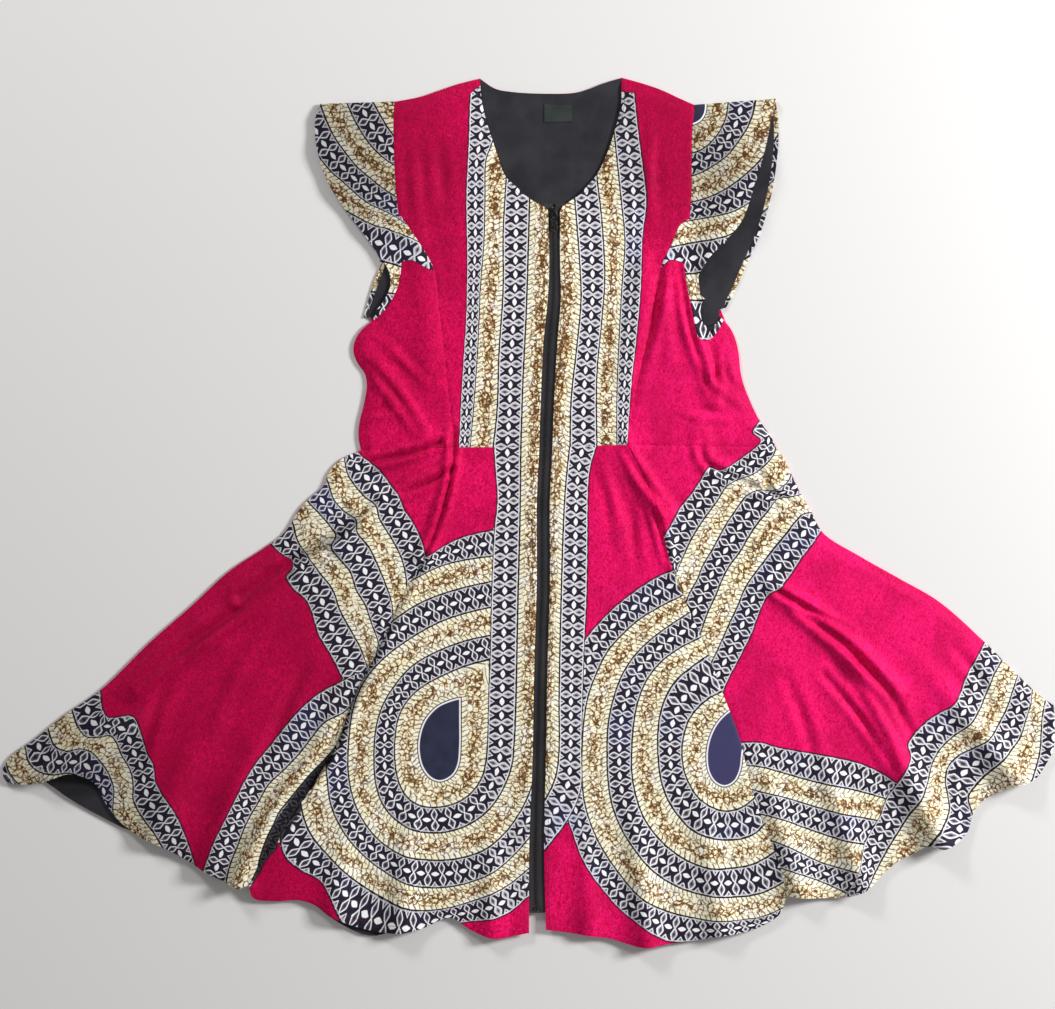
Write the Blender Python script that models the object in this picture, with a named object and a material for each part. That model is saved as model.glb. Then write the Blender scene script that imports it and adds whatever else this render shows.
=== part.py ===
"""Knee-length print dress laid flat, front up, as separate cut-and-sewn cloth pieces.

Frame: metres, +Z up from the surface the dress lies on, +Y towards the neck,
+X towards the side the front opens last. Tables are in millimetres.
"""
import math

import bmesh
import bpy
import numpy as np

MM = 0.001

# ---------------------------------------------------------------- named sizes
CLOTH = 1.5            # wall of the shell cloth
LINING_CLOTH = 1.0     # wall of the lining
TAPE_CLOTH = 1.0       # wall of the zip tape
SEAM_GAP = 0.3         # clear line between two pieces at a seam
LAYER_GAP = 0.3        # clear height between two layers that lie on each other

BACK_MID = CLOTH / 2.0
LINING_LOW = CLOTH + LAYER_GAP
LINING_TOP = LINING_LOW + LINING_CLOTH
PINNED_MID = CLOTH + 0.35 + CLOTH / 2.0     # front cloth where it is sewn to the back
FRONT_MID = 5.4        # front cloth where it lies loose over the lining
LINING_INSET = 12.5    # the lining stops this far inside a side or shoulder seam
PIN_WIDTH = 15.0       # how far the front takes to rise from a side or shoulder seam
FOLD_FADE = 34.0       # how far folds take to die out towards those seams

TAPE_LOW = 4.4
TAPE_WIDTH = 15.0
COIL_LOW = 5.7
COIL_HIGH = 1.4
COIL_HALF = 2.5
ZIP_RISE = 1.9         # the front edges sit this much higher over the tapes
ZIP_RISE_WIDTH = 36.0

SLIDER_X, SLIDER_Y = 32.0, 358.0
HINGE_Z = 9.5

# ------------------------------------------------------------- seam and edge lines
# each line is a short run of (x, y) turning points of the pattern
SHOULDER_L = [(-57, 519), (-81, 513), (-105, 505), (-129, 497), (-160, 491)]
SHOULDER_R = [(113, 520), (135, 514), (159, 506), (183, 495), (201, 487)]
NECK_BACK = [(-57, 519), (-39, 507), (-18, 503), (15, 501), (57, 502), (75, 507),
             (93, 514), (113, 520)]
NECK_L = [(-57, 519), (-55, 492), (-48, 463), (-38, 433), (-27, 402), (-14, 389),
          (3, 374), (24, 362)]
NECK_R = [(113, 520), (112, 485), (105, 457), (96, 430), (85, 406), (75, 393),
          (60, 378), (42, 365)]
ZIP_BODICE_L = [(25, 361), (26, 289), (24, 250), (19, 200), (16, 133), (14, 76)]
ZIP_BODICE_R = [(39, 362), (39, 300), (40, 255), (36, 203), (32, 133), (30, 76)]
ZIP_SKIRT_L = [(14, 76), (11, 13), (11, -83), (8, -190), (6, -300), (2, -407), (2, -507)]
ZIP_SKIRT_R = [(30, 76), (27, 13), (27, -83), (24, -190), (22, -300), (20, -400), (22, -503)]
ARM_UPPER_L = [(-160, 491), (-161, 457), (-160, 421), (-158, 385), (-155, 355)]
ARM_LOWER_L = [(-155, 355), (-153, 325), (-151, 299), (-155, 271), (-162, 255),
               (-171, 241), (-184, 229)]
ARM_UPPER_R = [(201, 487), (198, 457), (197, 421), (197, 390), (195, 350)]
ARM_LOWER_R = [(195, 350), (190, 320), (188, 298), (191, 272), (196, 247), (200, 227),
               (204, 209)]
ARM_FOOT_R = [(204, 209), (210, 204), (218, 205), (227, 214), (235, 229)]
PRINCESS_L = [(-153, 354), (-138, 333), (-120, 305), (-112, 288), (-106, 240),
              (-99, 180), (-93, 125), (-87, 76)]
PRINCESS_R = [(193, 349), (183, 342), (173, 319), (164, 302), (159, 285), (150, 230),
              (136, 170), (126, 120), (119, 79)]
ARM_BACK_L = [(-160, 491), (-162, 450), (-163, 410), (-163, 370), (-161, 330),
              (-160, 299), (-165, 277), (-174, 254), (-188, 232)]
ARM_BACK_R = [(201, 487), (197, 450), (195, 415), (194, 380), (194, 345), (199, 310),
              (209, 279), (221, 257), (232, 242)]
SIDE_BODICE_L = [(-184, 229), (-199, 217), (-208, 202), (-209, 190), (-204, 177),
                 (-196, 166), (-193, 152), (-196, 130), (-202, 105), (-203, 88), (-200, 72)]
SIDE_BODICE_R = [(235, 229), (243, 220), (250, 205), (254, 186), (256, 166), (260, 150),
                 (268, 130), (276, 113), (285, 99), (293, 88), (298, 76)]
SIDE_SKIRT_L = [(-200, 72), (-224, 61), (-238, 46), (-246, 28), (-262, 14), (-274, 1),
                (-292, -27), (-316, -45), (-357, -72), (-405, -116), (-453, -158),
                (-513, -216), (-555, -245), (-591, -274), (-621, -296), (-632, -313)]
SIDE_SKIRT_R = [(298, 76), (309, 60), (317, 43), (327, 22), (339, 2), (355, -27),
                (399, -55), (447, -82), (495, -110), (549, -158), (585, -194),
                (615, -222), (632, -234)]
GORE_L = [(-87, 76), (-92, 38), (-109, -20), (-121, -55), (-147, -95), (-170, -150),
          (-207, -221), (-228, -278), (-262, -335), (-295, -375), (-318, -415),
          (-334, -448)]
GORE_R = [(119, 79), (141, 38), (158, -8), (172, -64), (184, -96), (207, -149),
          (235, -221), (255, -275), (268, -330), (287, -385), (301, -420), (311, -462)]
HEM_SIDE_L = [(-632, -313), (-626, -325), (-609, -329), (-585, -327), (-567, -321),
              (-549, -315), (-531, -319), (-517, -330), (-506, -352), (-489, -374),
              (-465, -391), (-441, -402), (-405, -422), (-365, -444), (-345, -452),
              (-334, -448)]
HEM_CENTRE_L = [(-334, -448), (-329, -465), (-303, -469), (-275, -468), (-252, -475),
                (-230, -489), (-201, -501), (-175, -506), (-150, -506), (-125, -501),
                (-93, -489), (-69, -503), (-40, -513), (2, -507)]
HEM_CENTRE_R = [(22, -503), (60, -508), (95, -513), (135, -523), (160, -521),
                (189, -518), (231, -510), (261, -506), (285, -497), (303, -484),
                (311, -462)]
HEM_SIDE_R = [(311, -462), (351, -465), (381, -464), (405, -455), (429, -434),
              (447, -420), (465, -411), (481, -402), (497, -405), (514, -398),
              (528, -386), (535, -363), (545, -350), (573, -334), (609, -321),
              (622, -305), (631, -287), (633, -262), (632, -234)]
HEM_BACK = [(-630, -315), (-605, -322), (-582, -324), (-563, -338), (-538, -354),
            (-512, -368), (-487, -381), (-455, -393), (-410, -414), (-365, -436),
            (-335, -444), (-300, -460), (-262, -470), (-238, -488), (-215, -502),
            (-192, -511), (-172, -509), (-140, -497), (-90, -483), (-30, -479),
            (60, -481), (130, -497), (190, -503), (250, -493), (296, -462),
            (350, -457), (395, -450), (437, -417), (470, -400), (505, -395),
            (528, -352), (566, -328), (603, -315), (622, -294), (629, -262), (630, -238)]
SLEEVE_FREE_L = [(-249, 488), (-255, 470), (-255, 448), (-250, 422), (-240, 394),
                 (-222, 365), (-203, 340), (-186, 317), (-171, 296), (-165, 283),
                 (-165, 268), (-172, 253), (-181, 241), (-188, 234)]
SLEEVE_BACK_FREE_L = [(-249, 488), (-253, 468), (-252, 447), (-247, 421), (-236, 392),
                      (-219, 364), (-200, 339), (-184, 315), (-177, 297), (-184, 277),
                      (-190, 258), (-197, 232)]
SLEEVE_FREE_R = [(298, 494), (295, 478), (289, 452), (281, 420), (271, 387), (257, 348),
                 (238, 324), (207, 297), (205, 278), (207, 257), (206, 236), (209, 216),
                 (213, 211), (219, 212), (226, 220), (231, 233)]
SLEEVE_BACK_FREE_R = [(298, 494), (301, 475), (302, 451), (300, 420), (293, 378),
                      (281, 336), (264, 297), (250, 265), (239, 244)]

# ------------------------------------------------------------------- folds
# path: run of the crest, high0/high1: height at its two ends, wide0/wide1: half width
# at its two ends, lean: how much narrower the right-hand flank of the run is
FOLDS = [
    # skirt, left side gore
    dict(path=[(-355, -150), (-440, -240), (-505, -285), (-568, -330)], high0=0.0, high1=15.0, wide0=16, wide1=30, lean=1.0),
    dict(path=[(-330, -190), (-400, -290), (-452, -405)], high0=0.0, high1=10.0, wide0=16, wide1=32, lean=1.0),
    dict(path=[(-290, -190), (-340, -310), (-385, -440)], high0=0.0, high1=12.0, wide0=16, wide1=26, lean=1.0),
    dict(path=[(-180, -115), (-222, -210), (-252, -286), (-300, -355), (-338, -425), (-352, -458)], high0=0.0, high1=17.0, wide0=14, wide1=23, lean=1.35),
    dict(path=[(-262, -50), (-330, -112), (-400, -165), (-470, -212)], high0=3.0, high1=7.0, wide0=15, wide1=20, lean=1.0),
    # skirt, left centre gore
    dict(path=[(-200, -330), (-222, -410), (-232, -492)], high0=0.0, high1=9.0, wide0=18, wide1=28, lean=1.0),
    dict(path=[(-120, -300), (-142, -400), (-152, -510)], high0=0.0, high1=11.0, wide0=16, wide1=28, lean=1.0),
    dict(path=[(-45, -330), (-42, -420), (-42, -515)], high0=0.0, high1=8.0, wide0=16, wide1=24, lean=1.0),
    # skirt, right centre gore
    dict(path=[(70, -320), (72, -420), (74, -512)], high0=0.0, high1=7.0, wide0=16, wide1=22, lean=1.0),
    dict(path=[(112, -270), (132, -400), (146, -524)], high0=0.0, high1=13.0, wide0=16, wide1=27, lean=1.0),
    dict(path=[(190, -270), (214, -390), (234, -512)], high0=0.0, high1=10.0, wide0=16, wide1=28, lean=1.0),
    # skirt, right side gore
    dict(path=[(262, -250), (296, -350), (330, -468)], high0=0.0, high1=13.0, wide0=15, wide1=26, lean=1.0),
    dict(path=[(330, -230), (368, -340), (404, -458)], high0=0.0, high1=13.0, wide0=16, wide1=26, lean=1.0),
    dict(path=[(380, -180), (440, -290), (500, -405)], high0=1.0, high1=18.0, wide0=16, wide1=28, lean=1.0),
    dict(path=[(450, -160), (520, -240), (592, -330)], high0=1.0, high1=15.0, wide0=16, wide1=30, lean=1.0),
    dict(path=[(290, -88), (370, -150), (440, -218)], high0=4.0, high1=6.0, wide0=14, wide1=18, lean=1.0),
    # hips and waist
    dict(path=[(-95, 96), (-94, 40), (-108, -14), (-124, -58)], high0=2.0, high1=5.0, wide0=11, wide1=13, lean=1.2),
    dict(path=[(-178, 54), (-146, 66), (-108, 84)], high0=3.0, high1=2.0, wide0=12, wide1=11, lean=1.0),
    dict(path=[(-160, 12), (-126, 32), (-96, 56)], high0=2.0, high1=3.0, wide0=11, wide1=11, lean=1.0),
    dict(path=[(116, 96), (132, 44), (168, -4)], high0=3.0, high1=6.0, wide0=12, wide1=14, lean=1.0),
    dict(path=[(148, 10), (166, -34), (180, -84)], high0=4.0, high1=3.0, wide0=13, wide1=14, lean=1.0),
    dict(path=[(206, 100), (212, 66), (234, 50)], high0=3.0, high1=3.0, wide0=12, wide1=12, lean=1.0),
    # bodice
    dict(path=[(-192, 176), (-160, 136), (-126, 94)], high0=3.0, high1=4.0, wide0=12, wide1=13, lean=1.0),
    dict(path=[(186, 292), (194, 226), (208, 180), (226, 130)], high0=3.0, high1=4.0, wide0=11, wide1=13, lean=1.0),
    dict(path=[(166, 300), (166, 240), (172, 180)], high0=4.0, high1=2.0, wide0=11, wide1=12, lean=1.0),
    dict(path=[(140, 300), (128, 226), (112, 150)], high0=5.0, high1=2.0, wide0=16, wide1=18, lean=1.0),
    dict(path=[(-134, 320), (-122, 240), (-118, 160)], high0=3.0, high1=3.0, wide0=22, wide1=22, lean=1.0),
]
PINNED = [SHOULDER_L, SHOULDER_R, SIDE_BODICE_L, SIDE_BODICE_R, SIDE_SKIRT_L, SIDE_SKIRT_R]
UNDERARM = [[(-182, 229), (-206, 243)], [(233, 229), (254, 243)]]
ZIP_EDGES = [ZIP_BODICE_L, ZIP_BODICE_R, ZIP_SKIRT_L, ZIP_SKIRT_R]

# --------------------------------------------------------------- cloth colours
FINISH = {
    "print": dict(colour=(0.42, 0.36, 0.28), rough=0.75, metal=0.0),
    "red": dict(colour=(0.62, 0.01, 0.07), rough=0.75, metal=0.0),
    "lining": dict(colour=(0.035, 0.033, 0.038), rough=0.85, metal=0.0),
    "tape": dict(colour=(0.03, 0.028, 0.03), rough=0.8, metal=0.0),
    "coil": dict(colour=(0.02, 0.02, 0.022), rough=0.45, metal=0.0),
    "metal": dict(colour=(0.05, 0.05, 0.055), rough=0.35, metal=1.0),
}


# ------------------------------------------------------------------ curve maths
def smooth_run(points, per=10):
    """A smooth run through the given points, sampled `per` times a step."""
    p = np.array(points, float)
    if len(p) == 2:
        s = np.linspace(0.0, 1.0, per + 1)[:, None]
        return p[0] + (p[1] - p[0]) * s
    head, tail = 2 * p[0] - p[1], 2 * p[-1] - p[-2]
    q = np.vstack([head, p, tail])
    out = []
    for k in range(1, len(q) - 2):
        a, b, c, d = q[k - 1], q[k], q[k + 1], q[k + 2]
        t0 = 0.0
        t1 = t0 + max(np.linalg.norm(b - a), 1e-6) ** 0.5
        t2 = t1 + max(np.linalg.norm(c - b), 1e-6) ** 0.5
        t3 = t2 + max(np.linalg.norm(d - c), 1e-6) ** 0.5
        for t in np.linspace(t1, t2, per, endpoint=False):
            a1 = (t1 - t) / (t1 - t0) * a + (t - t0) / (t1 - t0) * b
            a2 = (t2 - t) / (t2 - t1) * b + (t - t1) / (t2 - t1) * c
            a3 = (t3 - t) / (t3 - t2) * c + (t - t2) / (t3 - t2) * d
            b1 = (t2 - t) / (t2 - t0) * a1 + (t - t0) / (t2 - t0) * a2
            b2 = (t3 - t) / (t3 - t1) * a2 + (t - t1) / (t3 - t1) * a3
            out.append((t2 - t) / (t2 - t1) * b1 + (t - t1) / (t2 - t1) * b2)
    out.append(p[-1])
    return np.array(out)


def stations(points, count):
    """`count` + 1 points evenly spaced along the smooth run."""
    run = smooth_run(points)
    length = np.concatenate([[0.0], np.cumsum(np.linalg.norm(np.diff(run, axis=0), axis=1))])
    at = np.linspace(0.0, length[-1], count + 1)
    return np.stack([np.interp(at, length, run[:, k]) for k in (0, 1)], axis=1)


def joined(*pieces):
    """Several (points, count) runs one after another, sharing their end points."""
    rows = [stations(*pieces[0])]
    for piece in pieces[1:]:
        rows.append(stations(*piece)[1:])
    return np.vstack(rows)


def near(xy, points):
    """Distance to a run, share of the run reached, and the side it is on."""
    run = smooth_run(points, 6)
    a, b = run[:-1], run[1:]
    d = b - a
    ll = np.maximum((d * d).sum(1), 1e-9)
    rel = xy[:, None, :] - a[None]
    t = np.clip((rel * d[None]).sum(2) / ll[None], 0.0, 1.0)
    foot = a[None] + t[..., None] * d[None]
    gap = np.linalg.norm(xy[:, None, :] - foot, axis=2)
    k = gap.argmin(1)
    rows = np.arange(len(xy))
    seg = np.sqrt(ll)
    start = np.concatenate([[0.0], np.cumsum(seg)])
    share = (start[k] + t[rows, k] * seg[k]) / start[-1]
    r = rel[rows, k]
    side = d[k, 0] * r[:, 1] - d[k, 1] * r[:, 0]
    return gap[rows, k], share, side


def ease(t):
    """Smooth step from 0 to 1."""
    t = np.clip(t, 0.0, 1.0)
    return t * t * (3.0 - 2.0 * t)


# ------------------------------------------------------------------ cloth height
def front_height(xy):
    """Middle of the front cloth above the surface, for rows of (x, y)."""
    xy = np.asarray(xy, float)
    pin = np.full(len(xy), 1e9)
    for line in PINNED:
        pin = np.minimum(pin, near(xy, line)[0])
    high = PINNED_MID + (FRONT_MID - PINNED_MID) * ease(pin / PIN_WIDTH)
    zip_gap = np.full(len(xy), 1e9)
    for line in ZIP_EDGES:
        zip_gap = np.minimum(zip_gap, near(xy, line)[0])
    high = high + ZIP_RISE * ease(1.0 - zip_gap / ZIP_RISE_WIDTH)
    folds = np.zeros(len(xy))
    for fold in FOLDS:
        gap, share, side = near(xy, fold["path"])
        crest = fold["high0"] + (fold["high1"] - fold["high0"]) * ease(share)
        wide = fold["wide0"] + (fold["wide1"] - fold["wide0"]) * share
        wide = np.where(side < 0, wide / fold["lean"], wide)
        folds = folds + crest * np.exp(-0.5 * (gap / (0.48 * wide)) ** 2)
    folds = np.minimum(folds, 24.0)
    high = high + folds * ease(pin / FOLD_FADE) * ease(zip_gap / 26.0 + 0.15)
    return high


def height_and_normal(xy, height):
    """Height and unit normal of the cloth's middle surface."""
    e = 0.8
    xy = np.asarray(xy, float)
    z = height(xy)
    dx = (height(xy + [e, 0]) - height(xy - [e, 0])) / (2 * e)
    dy = (height(xy + [0, e]) - height(xy - [0, e])) / (2 * e)
    n = np.stack([-dx, -dy, np.ones(len(xy))], axis=1)
    return z, n / np.linalg.norm(n, axis=1)[:, None]


# ------------------------------------------------------------------ mesh makers
def material(name, finish):
    mat = bpy.data.materials.new(name + "_cloth")
    mat.use_nodes = True
    shader = mat.node_tree.nodes["Principled BSDF"]
    spec = FINISH[finish]
    shader.inputs["Base Color"].default_value = (*spec["colour"], 1.0)
    shader.inputs["Roughness"].default_value = spec["rough"]
    shader.inputs["Metallic"].default_value = spec["metal"]
    mat.diffuse_color = (*spec["colour"], 1.0)
    return mat


def add_object(name, verts_mm, faces, finish, smooth=False):
    mesh = bpy.data.meshes.new(name)
    mesh.from_pydata([tuple(float(c) * MM for c in v) for v in verts_mm], [], faces)
    bm = bmesh.new()
    bm.from_mesh(mesh)
    bmesh.ops.recalc_face_normals(bm, faces=bm.faces)
    if bm.calc_volume(signed=True) < 0:
        bmesh.ops.reverse_faces(bm, faces=bm.faces)
    for f in bm.faces:
        f.smooth = smooth
    bm.to_mesh(mesh)
    bm.free()
    obj = bpy.data.objects.new(name, mesh)
    bpy.context.scene.collection.objects.link(obj)
    mesh.materials.append(material(name, finish))
    return obj


def coons(left, right, top, bottom, hem_power=2.0):
    """Grid of plan points filling four edge runs; top and bottom go left to right."""
    rows, cols = len(left), len(top)
    v = np.linspace(0, 1, rows)[:, None, None]
    u = np.linspace(0, 1, cols)[None, :, None]
    ruled = left[:, None] * (1 - u) + right[:, None] * u
    dt = top - (left[0] * (1 - u[0]) + right[0] * u[0])
    db = bottom - (left[-1] * (1 - u[0]) + right[-1] * u[0])
    return ruled + (1 - v) ** hem_power * dt[None] + v ** hem_power * db[None]


def weld(grids):
    """Join plan grids into one sheet of points and quads."""
    pts, quads, seen = [], [], {}
    for grid in grids:
        rows, cols = grid.shape[:2]
        index = np.empty((rows, cols), int)
        for r in range(rows):
            for c in range(cols):
                key = (round(grid[r, c, 0], 3), round(grid[r, c, 1], 3))
                if key not in seen:
                    seen[key] = len(pts)
                    pts.append(grid[r, c])
                index[r, c] = seen[key]
        for r in range(rows - 1):
            for c in range(cols - 1):
                quads.append((index[r, c], index[r + 1, c], index[r + 1, c + 1], index[r, c + 1]))
    return np.array(pts), quads


def rim_loop(quads):
    """The open rim of a sheet as one ordered run of point numbers."""
    nxt = {}
    edges = {(q[k], q[(k + 1) % 4]) for q in quads for k in range(4)}
    for a, b in edges:
        if (b, a) not in edges:
            nxt[a] = b
    start = min(nxt)
    loop, at = [start], nxt[start]
    while at != start:
        loop.append(at)
        at = nxt[at]
    return loop


def drawn_in(ring, amount):
    """A closed run of plan points moved inwards by the given amount(s)."""
    ring = np.asarray(ring, float)
    amount = np.broadcast_to(np.asarray(amount, float), (len(ring),))
    area = 0.5 * np.sum(ring[:, 0] * np.roll(ring[:, 1], -1) - np.roll(ring[:, 0], -1) * ring[:, 1])
    turn = 1.0 if area > 0 else -1.0
    e = np.roll(ring, -1, axis=0) - ring
    e = e / np.maximum(np.linalg.norm(e, axis=1), 1e-9)[:, None]
    n = turn * np.stack([-e[:, 1], e[:, 0]], axis=1)
    before = np.roll(n, 1, axis=0)
    m = n + before
    size = np.maximum((m * m).sum(1), 0.35)
    return ring + m * (2.0 / size * amount)[:, None]


def held_clear(ring, lines, gap):
    """Points of a rim pushed inwards until they are `gap` from the pinned seams."""
    ring = np.array(ring, float)
    for line in lines:
        run = smooth_run(line, 6)
        a, d = run[:-1], np.diff(run, axis=0)
        rel = ring[:, None, :] - a[None]
        t = np.clip((rel * d[None]).sum(2) / np.maximum((d * d).sum(1), 1e-9)[None], 0.0, 1.0)
        foot = a[None] + t[..., None] * d[None]
        far = np.linalg.norm(ring[:, None, :] - foot, axis=2)
        k = far.argmin(1)
        rows = np.arange(len(ring))
        away = ring - foot[rows, k]
        size = np.maximum(far[rows, k], 1e-6)
        move = size < gap
        ring[move] = foot[rows, k][move] + away[move] / size[move][:, None] * gap
    return ring


def cloth_panel(name, grids, finish, height=front_height, wall=CLOTH):
    """A panel: plan grids raised on the cloth's height and given its wall."""
    pts, quads = weld(grids)
    ring = rim_loop(quads)
    pts[ring] = drawn_in(pts[ring], SEAM_GAP / 2)
    z, n = height_and_normal(pts, height)
    mid = np.column_stack([pts, z])
    upper, lower = mid + n * wall / 2, mid - n * wall / 2
    count = len(pts)
    faces = []
    for q in quads:
        for tri in ((q[0], q[1], q[2]), (q[0], q[2], q[3])):
            if len(set(tri)) == 3:
                faces.append(tri)
                faces.append(tuple(count + k for k in reversed(tri)))
    for a, b in zip(ring, ring[1:] + ring[:1]):
        # the wall's diagonal runs the same way on both sides of a seam
        if tuple(pts[a][::-1]) > tuple(pts[b][::-1]):
            faces += [(b, a, count + b), (a, count + a, count + b)]
        else:
            faces += [(b, a, count + a), (b, count + a, count + b)]
    return add_object(name, np.vstack([upper, lower]), faces, finish, smooth=True)


def flat_sheet(name, ring, low, wall, finish):
    """A flat cloth piece with the given rim."""
    count = len(ring)
    verts = [(x, y, low) for x, y in ring] + [(x, y, low + wall) for x, y in ring]
    faces = [tuple(reversed(range(count))), tuple(range(count, 2 * count))]
    for k in range(count):
        j = (k + 1) % count
        faces.append((k, j, count + j, count + k))
    return add_object(name, verts, faces, finish)


def sleeve(name, seam_front, free_front, seam_back, free_back, lift, cols, finish):
    """A flutter sleeve folded along the shoulder: back half flat, front half on top."""
    bend_steps = 4
    u = np.linspace(0, 1, cols + 1)
    front = seam_front[:, None] * (1 - u[None, :, None]) + free_front[:, None] * u[None, :, None]
    back = seam_back[:, None] * (1 - u[None, :, None]) + free_back[:, None] * u[None, :, None]
    rows = len(front)
    w = np.linspace(0, 1, rows)

    # the fold itself lies a little inside the run of the shoulder
    fold_mid = BACK_MID + 3.0 + 3.0 * ease(u) * lift / 14.0
    radius = (fold_mid - BACK_MID) / 2.0

    flat = front.reshape(-1, 2)
    base = front_height(flat).reshape(rows, cols + 1)
    reach = np.linalg.norm(np.diff(front, axis=0), axis=2).cumsum(axis=0)
    reach = np.vstack([np.zeros(cols + 1), reach])
    settle = ease(reach / 22.0)
    puff = lift * ease(u * 1.25)[None] * (np.sin(np.pi * np.clip(w * 1.45, 0, 1)) ** 0.8)[:, None]
    high = fold_mid[None] * (1 - settle) + base * settle + puff * ease(reach / 60.0)

    profile = []
    for r in range(rows - 1, 0, -1):
        profile.append(np.column_stack([back[r], np.full(cols + 1, BACK_MID)]))
    pull = radius[:, None] * np.array([[0.0, -1.0]])
    bend_rows = []
    for k in range(bend_steps + 1):
        a = -math.pi / 2 + math.pi * k / bend_steps
        centre_z = BACK_MID + radius
        xy = front[0] + pull * (1 - math.cos(a))
        bend_rows.append(np.column_stack([xy, centre_z + radius * math.sin(a)]))
    first_flat = bend_rows[0].copy()
    first_flat[:, :2] = front[0] + pull
    bend_rows[0] = first_flat
    last = bend_rows[-1].copy()
    last[:, :2] = front[0] + pull
    bend_rows[-1] = last
    profile += bend_rows
    for r in range(1, rows):
        profile.append(np.column_stack([front[r], high[r]]))
    mid = np.array(profile)

    # draw the rim in by half a seam gap on the seam and free sides and at both ends
    across = mid[:, -1, :2] - mid[:, 0, :2]
    width = np.maximum(np.linalg.norm(across, axis=1), 1e-6)[:, None]
    mid[:, 0, :2] += across / width * SEAM_GAP / 2
    mid[:, -1, :2] -= across / width * SEAM_GAP / 2

    du = np.gradient(mid, axis=1)
    dv = np.gradient(mid, axis=0)
    n = np.cross(dv, du)
    n = n / np.maximum(np.linalg.norm(n, axis=2), 1e-9)[..., None]
    if n[0, 0, 2] > 0:
        n = -n
    n[:rows] = np.array([0.0, 0.0, -1.0])
    outer, inner = mid + n * CLOTH / 2, mid - n * CLOTH / 2
    R, C = mid.shape[:2]
    verts = np.vstack([outer.reshape(-1, 3), inner.reshape(-1, 3)])
    count = R * C

    def at(r, c):
        return r * C + c

    faces = []
    for r in range(R - 1):
        for c in range(C - 1):
            q = (at(r, c), at(r, c + 1), at(r + 1, c + 1), at(r + 1, c))
            faces.append(q)
            faces.append(tuple(count + k for k in reversed(q)))
    rim = [at(0, c) for c in range(C)] + [at(r, C - 1) for r in range(1, R)]
    rim += [at(R - 1, c) for c in range(C - 2, -1, -1)] + [at(r, 0) for r in range(R - 2, 0, -1)]
    for a, b in zip(rim, rim[1:] + rim[:1]):
        faces.append((a, b, count + b, count + a))
    return add_object(name, verts, faces, finish, smooth=True)


def box_bm(bm, x0, x1, y0, y1, z0, z1):
    """A box added to a mesh, sides in millimetres."""
    made = bmesh.ops.create_cube(bm, size=1.0)["verts"]
    for v in made:
        v.co.x = (x0 if v.co.x < 0 else x1) * MM
        v.co.y = (y0 if v.co.y < 0 else y1) * MM
        v.co.z = (z0 if v.co.z < 0 else z1) * MM


def loose_object(name, bm):
    mesh = bpy.data.meshes.new(name)
    bmesh.ops.recalc_face_normals(bm, faces=bm.faces)
    bm.to_mesh(mesh)
    bm.free()
    obj = bpy.data.objects.new(name, mesh)
    bpy.context.scene.collection.objects.link(obj)
    return obj


def united(name, parts, finish):
    """One solid from overlapping parts."""
    base = parts[0]
    base.name = name
    base.data.name = name
    for other in parts[1:]:
        mod = base.modifiers.new("join", "BOOLEAN")
        mod.operation = "UNION"
        mod.solver = "EXACT"
        mod.object = other
    bpy.context.view_layer.update()
    graph = bpy.context.evaluated_depsgraph_get()
    mesh = bpy.data.meshes.new_from_object(base.evaluated_get(graph))
    base.modifiers.clear()
    base.data = mesh
    for other in parts[1:]:
        bpy.data.objects.remove(other)
    base.data.materials.clear()
    base.data.materials.append(material(name, finish))
    return base


# ---------------------------------------------------------------------- pieces
def build_back():
    """Back panels and the lining that lies on them, all flat."""
    arm_l, arm_r = stations(ARM_BACK_L, 12), stations(ARM_BACK_R, 17)
    side_l, side_r = stations(SIDE_BODICE_L, 16), stations(SIDE_BODICE_R, 16)
    neck = stations(NECK_BACK, 16)
    sh_l, sh_r = stations(SHOULDER_L, 5), stations(SHOULDER_R, 5)
    ring = np.vstack([neck[::-1], sh_l[1:], arm_l[1:], side_l,
                      side_r[::-1], arm_r[::-1][:-1], sh_r[::-1][1:-1]])
    flat_sheet("back_bodice", drawn_in(ring, SEAM_GAP / 2), 0.0, CLOTH, "red")
    lining = held_clear(drawn_in(ring, 1.0), PINNED[:4] + UNDERARM, LINING_INSET)
    lining[:, 1] = np.maximum(lining[:, 1], 77.0)
    flat_sheet("back_bodice_lining", lining, LINING_LOW, LINING_CLOTH, "lining")

    side_l, side_r = stations(SIDE_SKIRT_L, 30), stations(SIDE_SKIRT_R, 28)
    hem = stations(HEM_BACK, 64)
    ring = np.vstack([side_l, hem, side_r[::-1]])
    flat_sheet("back_skirt", drawn_in(ring, SEAM_GAP / 2), 0.0, CLOTH, "red")
    lining = held_clear(drawn_in(ring, 1.6), PINNED[4:], LINING_INSET)
    flat_sheet("back_skirt_lining", lining, LINING_LOW, LINING_CLOTH, "lining")


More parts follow.
